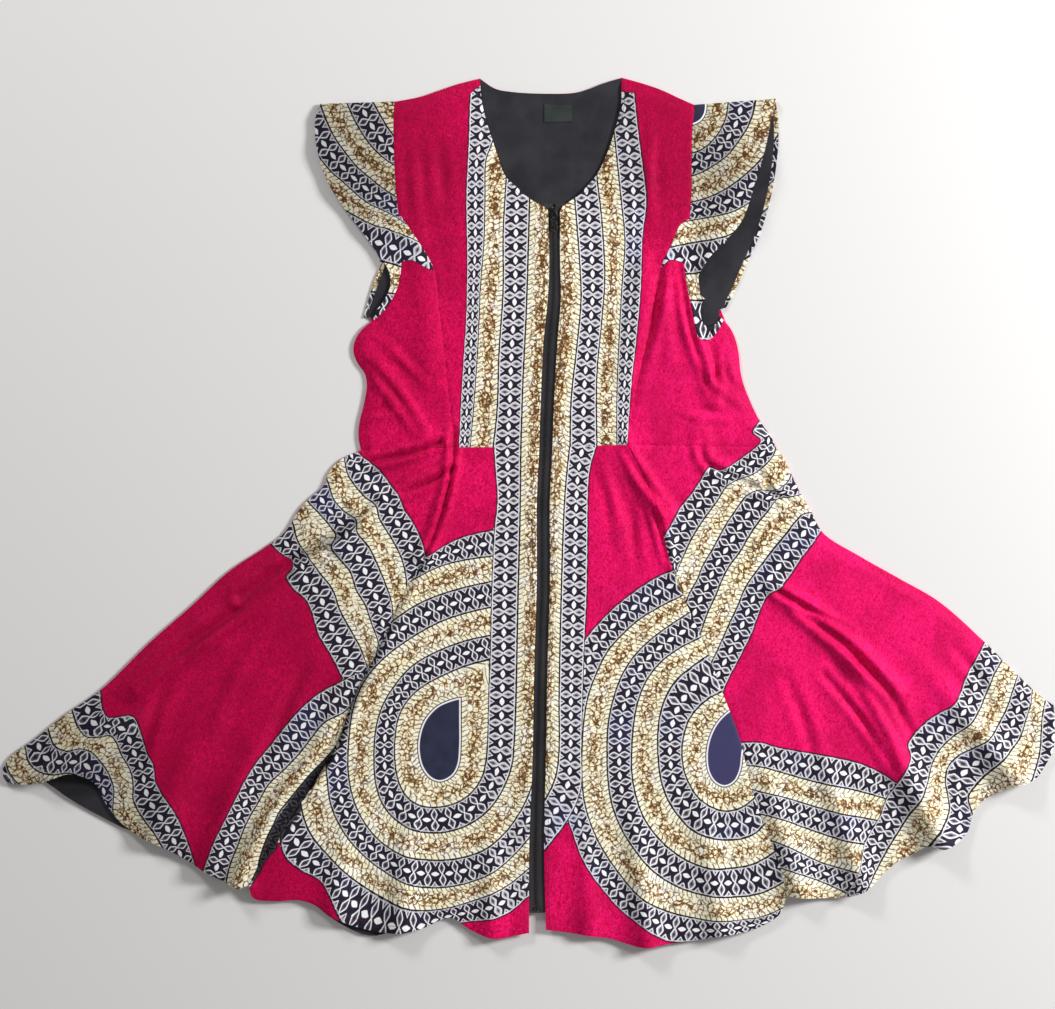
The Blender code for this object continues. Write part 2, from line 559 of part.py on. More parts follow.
def build_front_bodice():
    """Centre and side panels of the front bodice."""
    left = np.vstack([stations(ARM_UPPER_L, 6), stations(PRINCESS_L, 14)])
    right = joined((NECK_L, 9), (ZIP_BODICE_L, 12))
    top = stations(SHOULDER_L, 8)[::-1]
    bottom = np.linspace(left[-1], right[-1], 9)
    cloth_panel("front_bodice_centre_left", [coons(left, right, top, bottom)], "print")

    right = np.vstack([stations(ARM_UPPER_R, 6), stations(PRINCESS_R, 14)])
    left = joined((NECK_R, 9), (ZIP_BODICE_R, 12))
    top = stations(SHOULDER_R, 7)
    bottom = np.linspace(left[-1], right[-1], 8)
    cloth_panel("front_bodice_centre_right", [coons(left, right, top, bottom)], "print")

    left = joined((ARM_LOWER_L, 6), (SIDE_BODICE_L, 8))
    right = stations(PRINCESS_L, 14)
    top = np.linspace(left[0], right[0], 7)
    bottom = np.linspace(left[-1], right[-1], 7)
    cloth_panel("front_bodice_side_left", [coons(left, right, top, bottom)], "red")

    seam = stations(PRINCESS_R, 14)
    knee = 7
    arm = stations(ARM_LOWER_R, knee)
    upper = coons(seam[:knee + 1], arm, np.linspace(seam[0], arm[0], 5),
                  np.linspace(seam[knee], arm[-1], 5))
    foot = stations(ARM_FOOT_R, 4)
    top = np.vstack([np.linspace(seam[knee], arm[-1], 5), foot[1:]])
    side = stations(SIDE_BODICE_R, 14 - knee)
    bottom = np.linspace(seam[-1], side[-1], 9)
    lower = coons(seam[knee:], side, top, bottom, 1.0)
    cloth_panel("front_bodice_side_right", [upper, lower], "red")


def build_front_skirt():
    """Centre and side gores of the front skirt."""
    rows = 20
    gore_l, gore_r = stations(GORE_L, rows), stations(GORE_R, rows)
    zip_l, zip_r = stations(ZIP_SKIRT_L, rows), stations(ZIP_SKIRT_R, rows)
    cloth_panel("front_skirt_centre_left",
                [coons(gore_l, zip_l, np.linspace(gore_l[0], zip_l[0], 19),
                       stations(HEM_CENTRE_L, 18), 3.0)], "print")
    cloth_panel("front_skirt_centre_right",
                [coons(zip_r, gore_r, np.linspace(zip_r[0], gore_r[0], 18),
                       stations(HEM_CENTRE_R, 17), 3.0)], "print")
    side_l, side_r = stations(SIDE_SKIRT_L, rows), stations(SIDE_SKIRT_R, rows)
    cloth_panel("front_skirt_side_left",
                [coons(side_l, gore_l, np.linspace(side_l[0], gore_l[0], 24),
                       stations(HEM_SIDE_L, 23), 3.0)], "red")
    cloth_panel("front_skirt_side_right",
                [coons(gore_r, side_r, np.linspace(gore_r[0], side_r[0], 25),
                       stations(HEM_SIDE_R, 24), 3.0)], "red")


def build_sleeves():
    """Flutter sleeves and the lining on the inside of their back halves."""
    seam_l = joined((ARM_UPPER_L, 6), (ARM_LOWER_L, 6))
    seam_r = joined((ARM_UPPER_R, 6), (ARM_LOWER_R, 7), (ARM_FOOT_R, 4))
    free_l, free_r = stations(SLEEVE_FREE_L, 12), stations(SLEEVE_FREE_R, 17)
    back_l = stations(ARM_BACK_L, 12), stations(SLEEVE_BACK_FREE_L, 12)
    back_r = stations(ARM_BACK_R, 17), stations(SLEEVE_BACK_FREE_R, 17)
    sleeve("sleeve_left", seam_l, free_l, back_l[0], back_l[1], 1.5, 5, "print")
    sleeve("sleeve_right", seam_r, free_r, back_r[0], back_r[1], 14.0, 5, "print")
    for side, (seam, free) in (("left", back_l), ("right", back_r)):
        inner = seam[1:-1]
        outer = free[1:-1]
        across = outer - inner
        wide = np.linalg.norm(across, axis=1)[:, None]
        hem = np.minimum(9.0, 0.45 * wide)
        outer = outer - across / wide * hem
        inner = inner + across / wide * 0.15
        ring = held_clear(np.vstack([inner, outer[::-1]]), PINNED[2:4] + UNDERARM, LINING_INSET)
        flat_sheet("sleeve_lining_" + side, ring, LINING_LOW, LINING_CLOTH, "lining")


def zip_line(count):
    """Middle of the zip from its top to its lower end."""
    left = joined((ZIP_BODICE_L, 10), (ZIP_SKIRT_L, 20))
    right = joined((ZIP_BODICE_R, 10), (ZIP_SKIRT_R, 20))
    middle = (left + right) / 2
    keep = middle[middle[:, 1] > -470]
    low = np.vstack([[SLIDER_X, 349.0], keep[keep[:, 1] < 340], [12.0, -483.0]])
    top = [[SLIDER_X, y] for y in (369.0, 364.0, 360.0, 356.0, 352.0)]
    return np.vstack([top, stations([tuple(p) for p in low], count)])


def strip(name, inner, outer, low, wall, finish):
    """A long flat strip between two runs."""
    ring = np.vstack([inner, outer[::-1]])
    return flat_sheet(name, ring, low, wall, finish)


def build_zip():
    """Tapes, coil, stop, slider and pull tab of the front zip."""
    line = zip_line(36)
    step = np.gradient(line, axis=0)
    step = step / np.linalg.norm(step, axis=1)[:, None]
    out = np.stack([step[:, 1], -step[:, 0]], axis=1)     # towards -X going down
    split = 0.2 + 1.4 * ease((line[:, 1] - 350.0) / 9.0)
    for side, sign in (("left", 1.0), ("right", -1.0)):
        strip("zip_tape_" + side, line + out * (sign * split)[:, None],
              line + out * sign * TAPE_WIDTH, TAPE_LOW, TAPE_CLOTH, "tape")
    body = line[(line[:, 1] < 350) & (line[:, 1] > -474)]
    body = np.vstack([[SLIDER_X, 358.5], body, [line[-1, 0] + 0.1, -474.0]])
    s2 = np.gradient(body, axis=0)
    s2 = s2 / np.linalg.norm(s2, axis=1)[:, None]
    o2 = np.stack([s2[:, 1], -s2[:, 0]], axis=1)
    strip("zip_coil", body + o2 * COIL_HALF, body - o2 * COIL_HALF, COIL_LOW, COIL_HIGH, "coil")

    bm = bmesh.new()
    x = float(line[-1, 0])
    box_bm(bm, x - 3.2, x + 3.2, -479.5, -475.0, TAPE_LOW + TAPE_CLOTH + 0.3, 7.4)
    stop = loose_object("zip_bottom_stop", bm)
    stop.data.materials.append(material("zip_bottom_stop", "metal"))

    parts = []
    x, y = SLIDER_X, SLIDER_Y
    for name, size in (
        ("under_plate", (x - 4.5, x + 4.5, y - 6.0, y + 6.0, 3.1, 4.1)),
        ("top_plate", (x - 4.5, x + 4.5, y - 6.0, y + 6.0, 7.4, 8.4)),
        ("wedge", (x - 1.1, x + 1.1, y + 2.4, y + 5.4, 3.6, 7.9)),
        ("flange_left", (x - 4.5, x - 3.6, y - 6.0, y + 6.0, 5.7, 7.9)),
        ("flange_right", (x + 3.6, x + 4.5, y - 6.0, y + 6.0, 5.7, 7.9)),
        ("bridge_foot", (x - 1.2, x + 1.2, y - 3.0, y - 1.9, 7.9, 11.0)),
        ("bridge_head", (x - 1.2, x + 1.2, y + 1.9, y + 3.0, 7.9, 11.0)),
        ("bridge_top", (x - 1.2, x + 1.2, y - 3.0, y + 3.0, 10.4, 11.4)),
    ):
        bm = bmesh.new()
        box_bm(bm, *size)
        parts.append(loose_object(name, bm))
    united("zip_slider", parts, "metal")

    parts = []
    bm = bmesh.new()
    bmesh.ops.create_cone(bm, cap_ends=True, segments=24, radius1=0.6 * MM, radius2=0.6 * MM,
                          depth=6.2 * MM)
    for v in bm.verts:
        v.co = (v.co.z, v.co.y, v.co.x)
    bar = loose_object("tab_bar", bm)
    parts.append(bar)
    for x0, x1 in ((-3.1, -1.5), (1.5, 3.1)):
        bm = bmesh.new()
        box_bm(bm, x0, x1, -5.0, 0.0, -0.6, 0.6)
        parts.append(loose_object("tab_arm", bm))
    bm = bmesh.new()
    half, foot, tip = 3.1, 4.1, 24.0
    outline = [(-half, -foot), (-4.0, -10.0), (-4.0, -tip + 4.0)]
    outline += [(4.0 * math.cos(a), -tip + 4.0 + 4.0 * math.sin(a))
                for a in np.linspace(math.pi, 2 * math.pi, 13)[1:-1]]
    outline += [(4.0, -tip + 4.0), (4.0, -10.0), (half, -foot)]
    low = [bm.verts.new((px * MM, py * MM, -0.6 * MM)) for px, py in outline]
    top = [bm.verts.new((px * MM, py * MM, 0.6 * MM)) for px, py in outline]
    bm.faces.new(low)
    bm.faces.new(list(reversed(top)))
    for k in range(len(low)):
        j = (k + 1) % len(low)
        bm.faces.new((low[k], low[j], top[j], top[k]))
    parts.append(loose_object("tab_plate", bm))
    tab = united("zip_pull_tab", parts, "metal")
    tab.location = (SLIDER_X * MM, SLIDER_Y * MM, HINGE_Z * MM)


def build_label():
    """Bare woven neck label on the back lining."""
    ring = [(20, 466), (54, 467), (54, 488), (20, 487)]
    flat_sheet("neck_label", ring, LINING_TOP + LAYER_GAP, 1.0, "tape")


def main():
    for obj in list(bpy.data.objects):
        bpy.data.objects.remove(obj)
    build_back()
    build_front_bodice()
    build_front_skirt()
    build_sleeves()
    build_zip()
    build_label()


main()
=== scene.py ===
"""Knee-length wax-print dress laid flat: cut panels, flutter sleeves, linings, zip and finishes.

Frame: metres, +Z up from the surface the dress lies on, +Y towards the neck. Seam and edge
lines are in millimetres. The print is drawn on a cutting chart of 1.2 mm squares, counted
right and down from its corner. Left and right are as seen from above.
"""
import logging
import math
from dataclasses import dataclass, field, fields
from enum import Enum
from typing import Callable, Iterator, Sequence

import bmesh
import bpy
import numpy as np
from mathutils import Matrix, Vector


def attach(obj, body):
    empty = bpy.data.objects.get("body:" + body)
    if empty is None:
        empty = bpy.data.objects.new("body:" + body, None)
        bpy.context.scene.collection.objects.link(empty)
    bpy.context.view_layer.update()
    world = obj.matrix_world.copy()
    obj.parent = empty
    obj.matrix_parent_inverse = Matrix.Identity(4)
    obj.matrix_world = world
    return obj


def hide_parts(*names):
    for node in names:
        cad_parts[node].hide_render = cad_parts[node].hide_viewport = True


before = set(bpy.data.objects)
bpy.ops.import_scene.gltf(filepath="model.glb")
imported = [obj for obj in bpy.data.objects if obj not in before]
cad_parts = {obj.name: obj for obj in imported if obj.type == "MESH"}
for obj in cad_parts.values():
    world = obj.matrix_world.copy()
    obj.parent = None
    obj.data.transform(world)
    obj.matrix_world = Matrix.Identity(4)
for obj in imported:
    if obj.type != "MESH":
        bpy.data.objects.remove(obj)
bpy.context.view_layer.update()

log = logging.getLogger("dress")
logging.basicConfig(level=logging.INFO, format="%(message)s")

MM = 0.001                   # a millimetre in metres
SQUARE = 1.2                 # side of a square of the cutting chart, mm
CORNER = (-633.0, 612.6)     # top left corner of the chart, mm
BAND = 26.0                  # usual width of a printed band, mm
NOWHERE = -50.0              # depth that stands for unprinted cloth, mm
BATCH = 6000                 # plan points measured at once

Run = Sequence[tuple[float, float]]
Colour = tuple[float, float, float]
Point = tuple[float, float, float]
Socket = bpy.types.NodeSocket
Height = Callable[[np.ndarray], np.ndarray]


def pairs(*flat: float) -> list[tuple[float, float]]:
    """Points from their x and y in turn."""
    return list(zip(flat[::2], flat[1::2]))


# ------------------------------------------------------------- seams and edges, mm
SHOULDER_L = pairs(-57,519, -81,513, -105,505, -129,497, -160,491)
SHOULDER_R = pairs(113,520, 135,514, 159,506, 183,495, 201,487)
NECK_BACK = pairs(-57,519, -39,507, -18,503, 15,501, 57,502, 75,507, 93,514, 113,520)
NECK_L = pairs(-57,519, -55,492, -48,463, -38,433, -27,402, -14,389, 3,374, 24,362)
NECK_R = pairs(113,520, 112,485, 105,457, 96,430, 85,406, 75,393, 60,378, 42,365)
ZIP_BODICE_L = pairs(25,361, 26,289, 24,250, 19,200, 16,133, 14,76)
ZIP_BODICE_R = pairs(39,362, 39,300, 40,255, 36,203, 32,133, 30,76)
ZIP_SKIRT_L = pairs(14,76, 11,13, 11,-83, 8,-190, 6,-300, 2,-407, 2,-507)
ZIP_SKIRT_R = pairs(30,76, 27,13, 27,-83, 24,-190, 22,-300, 20,-400, 22,-503)
ARM_UPPER_L = pairs(-160,491, -161,457, -160,421, -158,385, -155,355)
ARM_LOWER_L = pairs(-155,355, -153,325, -151,299, -155,271, -162,255, -171,241, -184,229)
ARM_UPPER_R = pairs(201,487, 198,457, 197,421, 197,390, 195,350)
ARM_LOWER_R = pairs(195,350, 190,320, 188,298, 191,272, 196,247, 200,227, 204,209)
ARM_FOOT_R = pairs(204,209, 210,204, 218,205, 227,214, 235,229)
PRINCESS_L = pairs(-153,354, -138,333, -120,305, -112,288, -106,240, -99,180, -93,125, -87,76)
PRINCESS_R = pairs(193,349, 183,342, 173,319, 164,302, 159,285, 150,230, 136,170, 126,120, 119,79)
ARM_BACK_L = pairs(-160,491, -162,450, -163,410, -163,370, -161,330, -160,299, -165,277, -174,254, -188,232)
ARM_BACK_R = pairs(201,487, 197,450, 195,415, 194,380, 194,345, 199,310, 209,279, 221,257, 232,242)
SIDE_BODICE_L = pairs(-184,229, -199,217, -208,202, -209,190, -204,177, -196,166, -193,152, -196,130, -202,105,
                      -203,88, -200,72)
SIDE_BODICE_R = pairs(235,229, 243,220, 250,205, 254,186, 256,166, 260,150, 268,130, 276,113, 285,99, 293,88, 298,76)
SIDE_SKIRT_L = pairs(-200,72, -224,61, -238,46, -246,28, -262,14, -274,1, -292,-27, -316,-45, -357,-72, -405,-116,
                     -453,-158, -513,-216, -555,-245, -591,-274, -621,-296, -632,-313)
SIDE_SKIRT_R = pairs(298,76, 309,60, 317,43, 327,22, 339,2, 355,-27, 399,-55, 447,-82, 495,-110, 549,-158, 585,-194,
                     615,-222, 632,-234)
GORE_L = pairs(-87,76, -92,38, -109,-20, -121,-55, -147,-95, -170,-150, -207,-221, -228,-278, -262,-335, -295,-375,
               -318,-415, -334,-448)
GORE_R = pairs(119,79, 141,38, 158,-8, 172,-64, 184,-96, 207,-149, 235,-221, 255,-275, 268,-330, 287,-385, 301,-420,
               311,-462)
HEM_SIDE_L = pairs(-632,-313, -626,-325, -609,-329, -585,-327, -567,-321, -549,-315, -531,-319, -517,-330, -506,-352,
                   -489,-374, -465,-391, -441,-402, -405,-422, -365,-444, -345,-452, -334,-448)
HEM_CENTRE_L = pairs(-334,-448, -329,-465, -303,-469, -275,-468, -252,-475, -230,-489, -201,-501, -175,-506,
                     -150,-506, -125,-501, -93,-489, -69,-503, -40,-513, 2,-507)
HEM_CENTRE_R = pairs(22,-503, 60,-508, 95,-513, 135,-523, 160,-521, 189,-518, 231,-510, 261,-506, 285,-497, 303,-484,
                     311,-462)
HEM_SIDE_R = pairs(311,-462, 351,-465, 381,-464, 405,-455, 429,-434, 447,-420, 465,-411, 481,-402, 497,-405, 514,-398,
                   528,-386, 535,-363, 545,-350, 573,-334, 609,-321, 622,-305, 631,-287, 633,-262, 632,-234)
HEM_BACK = pairs(-630,-315, -605,-322, -582,-324, -563,-338, -538,-354, -512,-368, -487,-381, -455,-393, -410,-414,
                 -365,-436, -335,-444, -300,-460, -262,-470, -238,-488, -215,-502, -192,-511, -172,-509, -140,-497,
                 -90,-483, -30,-479, 60,-481, 130,-497, 190,-503, 250,-493, 296,-462, 350,-457, 395,-450, 437,-417,
                 470,-400, 505,-395, 528,-352, 566,-328, 603,-315, 622,-294, 629,-262, 630,-238)
SLEEVE_FREE_L = pairs(-249,488, -255,470, -255,448, -250,422, -240,394, -222,365, -203,340, -186,317, -171,296,
                      -165,283, -165,268, -172,253, -181,241, -188,234)
SLEEVE_BACK_FREE_L = pairs(-249,488, -253,468, -252,447, -247,421, -236,392, -219,364, -200,339, -184,315, -177,297,
                           -184,277, -190,258, -197,232)
SLEEVE_FREE_R = pairs(298,494, 295,478, 289,452, 281,420, 271,387, 257,348, 238,324, 207,297, 205,278, 207,257,
                      206,236, 209,216, 213,211, 219,212, 226,220, 231,233)
SLEEVE_BACK_FREE_R = pairs(298,494, 301,475, 302,451, 300,420, 293,378, 281,336, 264,297, 250,265, 239,244)
PINNED = [SHOULDER_L, SHOULDER_R, SIDE_BODICE_L, SIDE_BODICE_R, SIDE_SKIRT_L, SIDE_SKIRT_R]
UNDERARM = [
    pairs(-182,229, -206,243),
    pairs(233,229, 254,243),
]
ZIP_EDGES = [ZIP_BODICE_L, ZIP_BODICE_R, ZIP_SKIRT_L, ZIP_SKIRT_R]

# ---------------------------------------------- print lines, in squares of the chart
RAIL_BODICE_L = [
    pairs(475,60, 470,94, 468,150, 466,200, 467,260, 466,320, 464,350, 461,400, 459,446),
    pairs(496,60, 493,140, 486,160, 485,200, 484,240, 480,290, 478,340, 474,400, 470,446),
    pairs(508,60, 507,160, 503,230, 503,290, 499,350, 497,410, 493,447),
    pairs(531,60, 530,180, 528,260, 526,320, 523,380, 521,447),
    pairs(560,60, 556,180, 554,260, 551,320, 548,380, 546,447),
]
RAIL_BODICE_R = [
    pairs(632,60, 635,95, 640,140, 646,185, 647,205, 643,235, 641,290, 637,335, 632,380, 627,447),
    pairs(606,60, 614,133, 621,200, 625,240, 622,285, 619,340, 617,400, 617,447),
    pairs(590,60, 597,175, 602,220, 605,280, 602,320, 597,375, 597,447),
    pairs(562,60, 573,180, 580,270, 581,300, 577,345, 571,400, 570,447),
    pairs(538,60, 548,180, 556,270, 556,300, 552,345, 546,400, 545,447),
]
RAIL_SKIRT_L = [
    pairs(493,440, 495,470, 497,500, 494,530, 491,600, 490,650, 488,700, 487,745, 485,765),
    pairs(521,440, 520,520, 518,600, 517,650, 516,700, 514,745, 511,765),
    pairs(546,440, 546,520, 545,600, 544,650, 543,700, 541,745, 540,765),
]
RAIL_SKIRT_R = [
    pairs(598,444, 592,462, 589,480, 588,550, 587,600, 585,640, 583,700, 582,750, 582,785, 577,803, 567,822, 555,838,
          543,853, 528,870),
    pairs(570,444, 567,470, 564,510, 561,600, 559,700, 559,750, 556,775, 550,790, 542,804, 530,818),
    pairs(545,444, 543,470, 540,510, 537,600, 535,700, 534,750, 530,775, 522,788, 514,798),
]
RINGS_L = [
    pairs(461,697, 461,720, 461,745, 459,765, 453,776, 441,782, 431,779, 422,768, 418,752, 419,735, 425,719, 437,706,
          450,700, 461,697),
    pairs(490,668, 489,700, 488,735, 486,760, 482,777, 472,792, 458,802, 440,807, 422,806, 408,798, 399,783, 395,762,
          395,738, 399,716, 408,700, 422,687, 442,676, 468,665, 502,656),
    pairs(515,735, 512,765, 505,785, 493,805, 478,819, 458,829, 436,833, 414,830, 396,820, 383,805, 376,785, 374,760,
          376,728, 383,705, 395,685, 412,666, 436,652, 465,641, 502,633),
    pairs(541,735, 537,765, 531,788, 520,812, 504,834, 482,851, 455,859, 430,860, 403,855, 381,842, 364,822, 353,798,
          348,770, 349,740, 354,705, 365,680, 382,660, 408,640, 440,622, 470,612, 502,605),
    pairs(572,735, 566,770, 552,803, 531,835, 512,857, 492,873, 465,884, 436,888, 412,885, 385,872, 361,853, 342,829,
          331,805, 327,775, 326,740, 331,705, 343,675, 362,648, 390,623, 420,603, 455,590, 502,579),
    pairs(602,735, 594,780, 575,825, 550,852, 528,869, 508,885, 480,898, 448,908, 420,910, 395,903, 362,885, 335,862,
          312,836, 303,815, 299,780, 299,740, 303,700, 314,665, 334,633, 365,605, 400,587, 438,567, 465,560, 502,555),
    pairs(630,735, 620,790, 598,840, 562,874, 528,897, 512,911, 496,918, 470,922, 446,926, 425,942, 388,946, 354,936,
          339,917, 331,899, 320,881, 301,871, 284,856, 279,825, 275,780, 275,735, 281,690, 297,645, 325,605, 362,575,
          400,565, 428,556, 445,545, 465,536, 502,528),
]
RINGS_R = [
    pairs(743,755, 741,770, 735,782, 725,787, 715,783, 708,772, 706,755, 709,738, 717,722, 728,711, 737,706),
    pairs(764,770, 760,790, 752,800, 740,808, 725,811, 710,806, 698,797, 690,785, 684,770, 682,750, 684,735, 689,720,
          698,708, 710,698, 722,692, 735,686),
    pairs(782,785, 776,808, 766,822, 757,832, 745,838, 725,840, 705,836, 692,830, 680,818, 668,800, 661,780, 658,755,
          658,730, 661,710, 668,692, 678,678, 690,668, 702,659, 716,650),
    pairs(800,800, 793,830, 778,848, 765,858, 750,865, 730,868, 710,868, 690,862, 675,853, 660,840, 645,820, 637,800,
          632,775, 632,745, 635,715, 640,695, 648,678, 662,661, 680,648, 702,637, 716,629),
    pairs(812,840, 797,868, 780,884, 765,892, 750,896, 730,897, 705,895, 685,890, 665,880, 650,868, 635,850, 622,830,
          612,805, 608,780, 607,750, 608,725, 613,700, 622,675, 635,655, 650,640, 670,625, 690,612, 706,602),
    pairs(830,870, 812,890, 786,906, 762,917, 740,920, 710,920, 690,917, 670,912, 650,903, 635,892, 618,872, 603,850,
          593,830, 585,805, 582,780, 582,750, 584,720, 588,697, 597,672, 608,651, 622,635, 640,619, 660,607, 682,596,
          700,587),
    pairs(840,900, 810,918, 780,926, 750,932, 720,938, 692,942, 670,942, 655,935, 640,925, 620,910, 605,893, 590,873,
          580,855, 573,835, 567,817, 561,790, 559,750, 561,715, 567,685, 575,662, 584,641, 603,618, 620,602, 640,587,
          656,577, 672,570, 692,561),
]
HIP_L = [
    pairs(352,446, 361,455, 369,461, 380,470, 392,486, 400,497, 404,508, 412,520, 420,535, 425,550, 427,560),
    pairs(344,452, 345,462, 348,475, 355,486, 366,498, 376,506, 379,518, 386,530, 395,545, 402,560, 406,578, 406,596),
    pairs(322,470, 328,482, 334,500, 345,512, 356,520, 357,532, 369,547, 380,570, 388,590, 392,602, 393,614),
    pairs(303,494, 308,502, 318,512, 332,528, 336,536, 331,547, 340,560, 350,572, 356,590, 365,605, 372,625, 378,642,
          376,654),
    pairs(286,512, 293,524, 297,540, 309,558, 320,573, 333,590, 340,610, 352,632, 362,650, 368,666),
    pairs(266,540, 272,546, 281,554, 291,560, 293,568, 286,577, 292,588, 305,600, 311,612, 318,635, 330,655, 343,680,
          350,692),
]
LOW_L = [
    pairs(362,668, 343,680, 320,692, 300,709, 285,726, 270,745, 257,761, 245,780, 235,800, 225,820, 214,842, 205,866,
          198,882),
    pairs(366,692, 343,713, 325,722, 310,740, 300,753, 285,769, 269,784, 258,803, 247,822, 238,845, 230,866, 226,886),
    pairs(372,706, 350,730, 331,752, 323,761, 311,773, 300,786, 288,801, 280,811, 275,822, 268,836, 260,858, 256,878,
          252,892),
]
STRIP_L = pairs(312,788, 298,807, 288,822, 281,834, 278,842, 276,849, 266,860, 260,872, 250,888)
TIP_L = [
    pairs(98,680, 101,695, 103,708, 108,717, 121,716, 132,715, 139,721, 143,735, 147,752, 154,765, 156,781, 163,793,
          172,805, 180,820, 186,836, 191,850, 196,866),
    pairs(68,700, 73,715, 78,728, 86,737, 100,737, 112,735, 118,742, 122,755, 130,770, 133,785, 133,800, 138,811,
          146,822, 155,832, 163,846),
    pairs(44,718, 49,733, 55,746, 66,751, 82,748, 94,751, 103,762, 110,776, 114,790, 113,803, 113,814, 120,826),
    pairs(20,736, 25,750, 28,762, 38,771, 54,774, 72,772, 84,778, 92,790, 98,806),
]
HIP_R = [
    pairs(764,414, 757,424, 752,432, 761,440, 757,446, 745,455, 731,465, 720,470, 709,467, 700,480, 690,495, 680,507,
          672,522, 661,543, 665,555, 670,566, 674,576),
    pairs(786,430, 777,440, 775,452, 768,462, 754,474, 740,479, 727,486, 718,500, 710,511, 700,525, 691,540, 684,555,
          678,568, 672,584),
    pairs(804,458, 794,468, 788,482, 774,491, 758,490, 746,496, 737,508, 728,521, 720,535, 712,550, 703,565, 697,580,
          690,592, 684,606),
    pairs(818,490, 804,494, 790,497, 777,499, 768,511, 758,523, 748,538, 740,552, 730,565, 722,580, 716,595, 708,612,
          703,626, 698,642),
    pairs(832,508, 816,512, 803,514, 795,522, 785,535, 775,547, 765,560, 755,573, 745,588, 738,605, 730,622, 722,640,
          715,655, 706,672),
    pairs(832,520, 822,531, 814,543, 803,557, 794,571, 785,583, 779,590, 770,594, 763,605, 757,620, 752,634, 745,648,
          738,662, 730,677, 723,693),
]
LOW_R = [
    pairs(728,741, 743,742, 760,742, 778,747, 800,751, 830,756, 860,763, 880,772, 897,783, 915,794),
    pairs(728,761, 745,765, 762,767, 780,772, 800,778, 820,783, 850,789, 880,797, 900,803),
    pairs(740,786, 758,791, 780,796, 800,802, 820,808, 840,813, 860,817, 880,821, 900,826),
    pairs(748,812, 765,815, 785,820, 800,826, 820,833, 840,839, 860,843, 880,848),
    pairs(752,836, 770,840, 790,847, 805,855, 822,863, 840,868, 858,872, 875,877),
    pairs(758,860, 775,866, 790,870, 805,875, 820,881, 836,888, 850,895),
    pairs(760,886, 775,892, 795,899, 815,907, 835,915),
]
BORDER_R = [
    pairs(996,622, 985,642, 975,660, 965,678, 960,692, 952,705, 938,713, 924,723, 911,737, 907,745, 910,757, 905,768,
          896,783, 886,798, 880,815, 871,830, 863,845, 860,860, 855,877, 843,898),
    pairs(1012,642, 1003,660, 994,675, 988,690, 980,708, 969,724, 954,736, 940,750, 932,765, 928,780, 921,796,
          910,812, 900,829, 890,845, 881,861, 870,880),
    pairs(1028,658, 1019,674, 1013,690, 1008,705, 1000,721, 988,738, 972,748, 957,756, 947,768, 945,782, 948,797,
          949,811, 941,826, 930,841, 920,860),
    pairs(1044,672, 1034,688, 1031,705, 1026,720, 1020,738, 1008,752, 992,768, 977,784, 968,797, 972,812, 978,830),
    pairs(1056,686, 1046,700, 1042,716, 1041,732, 1040,750, 1036,766, 1028,783, 1015,796, 1004,810),
    pairs(1085,700, 1075,716, 1068,732, 1066,750, 1062,770, 1052,790, 1040,806),
]
SLEEVE_L = [
    pairs(404,92, 407,104, 414,118),
    pairs(369,92, 373,102, 380,115, 388,128, 398,141),
    pairs(343,92, 347,103, 352,115, 360,130, 368,142, 378,153, 388,161, 400,168),
    pairs(317,92, 321,105, 326,119, 335,138, 345,152, 357,167, 370,178, 381,187, 391,194, 404,202),
    pairs(296,128, 306,142, 319,157, 330,171, 343,182, 357,195, 369,204, 382,210, 392,215, 406,224),
    pairs(318,188, 334,203, 351,213, 372,224, 390,229, 407,236, 418,241, 430,247),
    pairs(346,248, 362,254, 378,260, 392,264, 404,268, 420,274),
    pairs(340,290, 362,291, 380,292, 396,294, 412,298),
    pairs(336,322, 362,322, 380,322, 398,322, 412,324),
]
SLEEVE_R = [
    pairs(706,94, 707,104, 706,113, 702,120, 696,124, 684,127),
    pairs(729,90, 728,103, 726,116, 721,129, 713,140, 703,149, 686,155),
    pairs(757,88, 755,102, 752,116, 747,128, 738,142, 727,156, 713,166, 700,173, 682,179),
    pairs(798,96, 790,116, 780,132, 770,147, 758,163, 742,178, 725,190, 708,198, 680,205),
    pairs(800,150, 785,168, 770,184, 756,198, 743,208, 730,214, 715,217, 700,219, 676,223),
    pairs(790,186, 772,203, 756,218, 741,228, 728,236, 712,240, 695,242, 666,248),
    pairs(790,236, 760,250, 738,262, 715,270, 700,273, 680,275, 660,276),
    pairs(780,290, 750,296, 725,299, 700,300, 680,300, 660,300),
    pairs(770,340, 745,340, 720,341, 700,341, 680,341, 660,341),
]
TIP_LINE_L = pairs(392,264, 401,262, 410,260, 418,263, 426,268, 436,270, 446,272)
TIP_LINE_R = pairs(700,262, 690,262, 682,262, 675,260, 668,261, 662,267, 652,274)
LOW_SPLIT_L = pairs(392,662, 365,671, 343,679, 316,686, 290,702, 262,735, 236,778, 214,822, 199,862, 194,884)

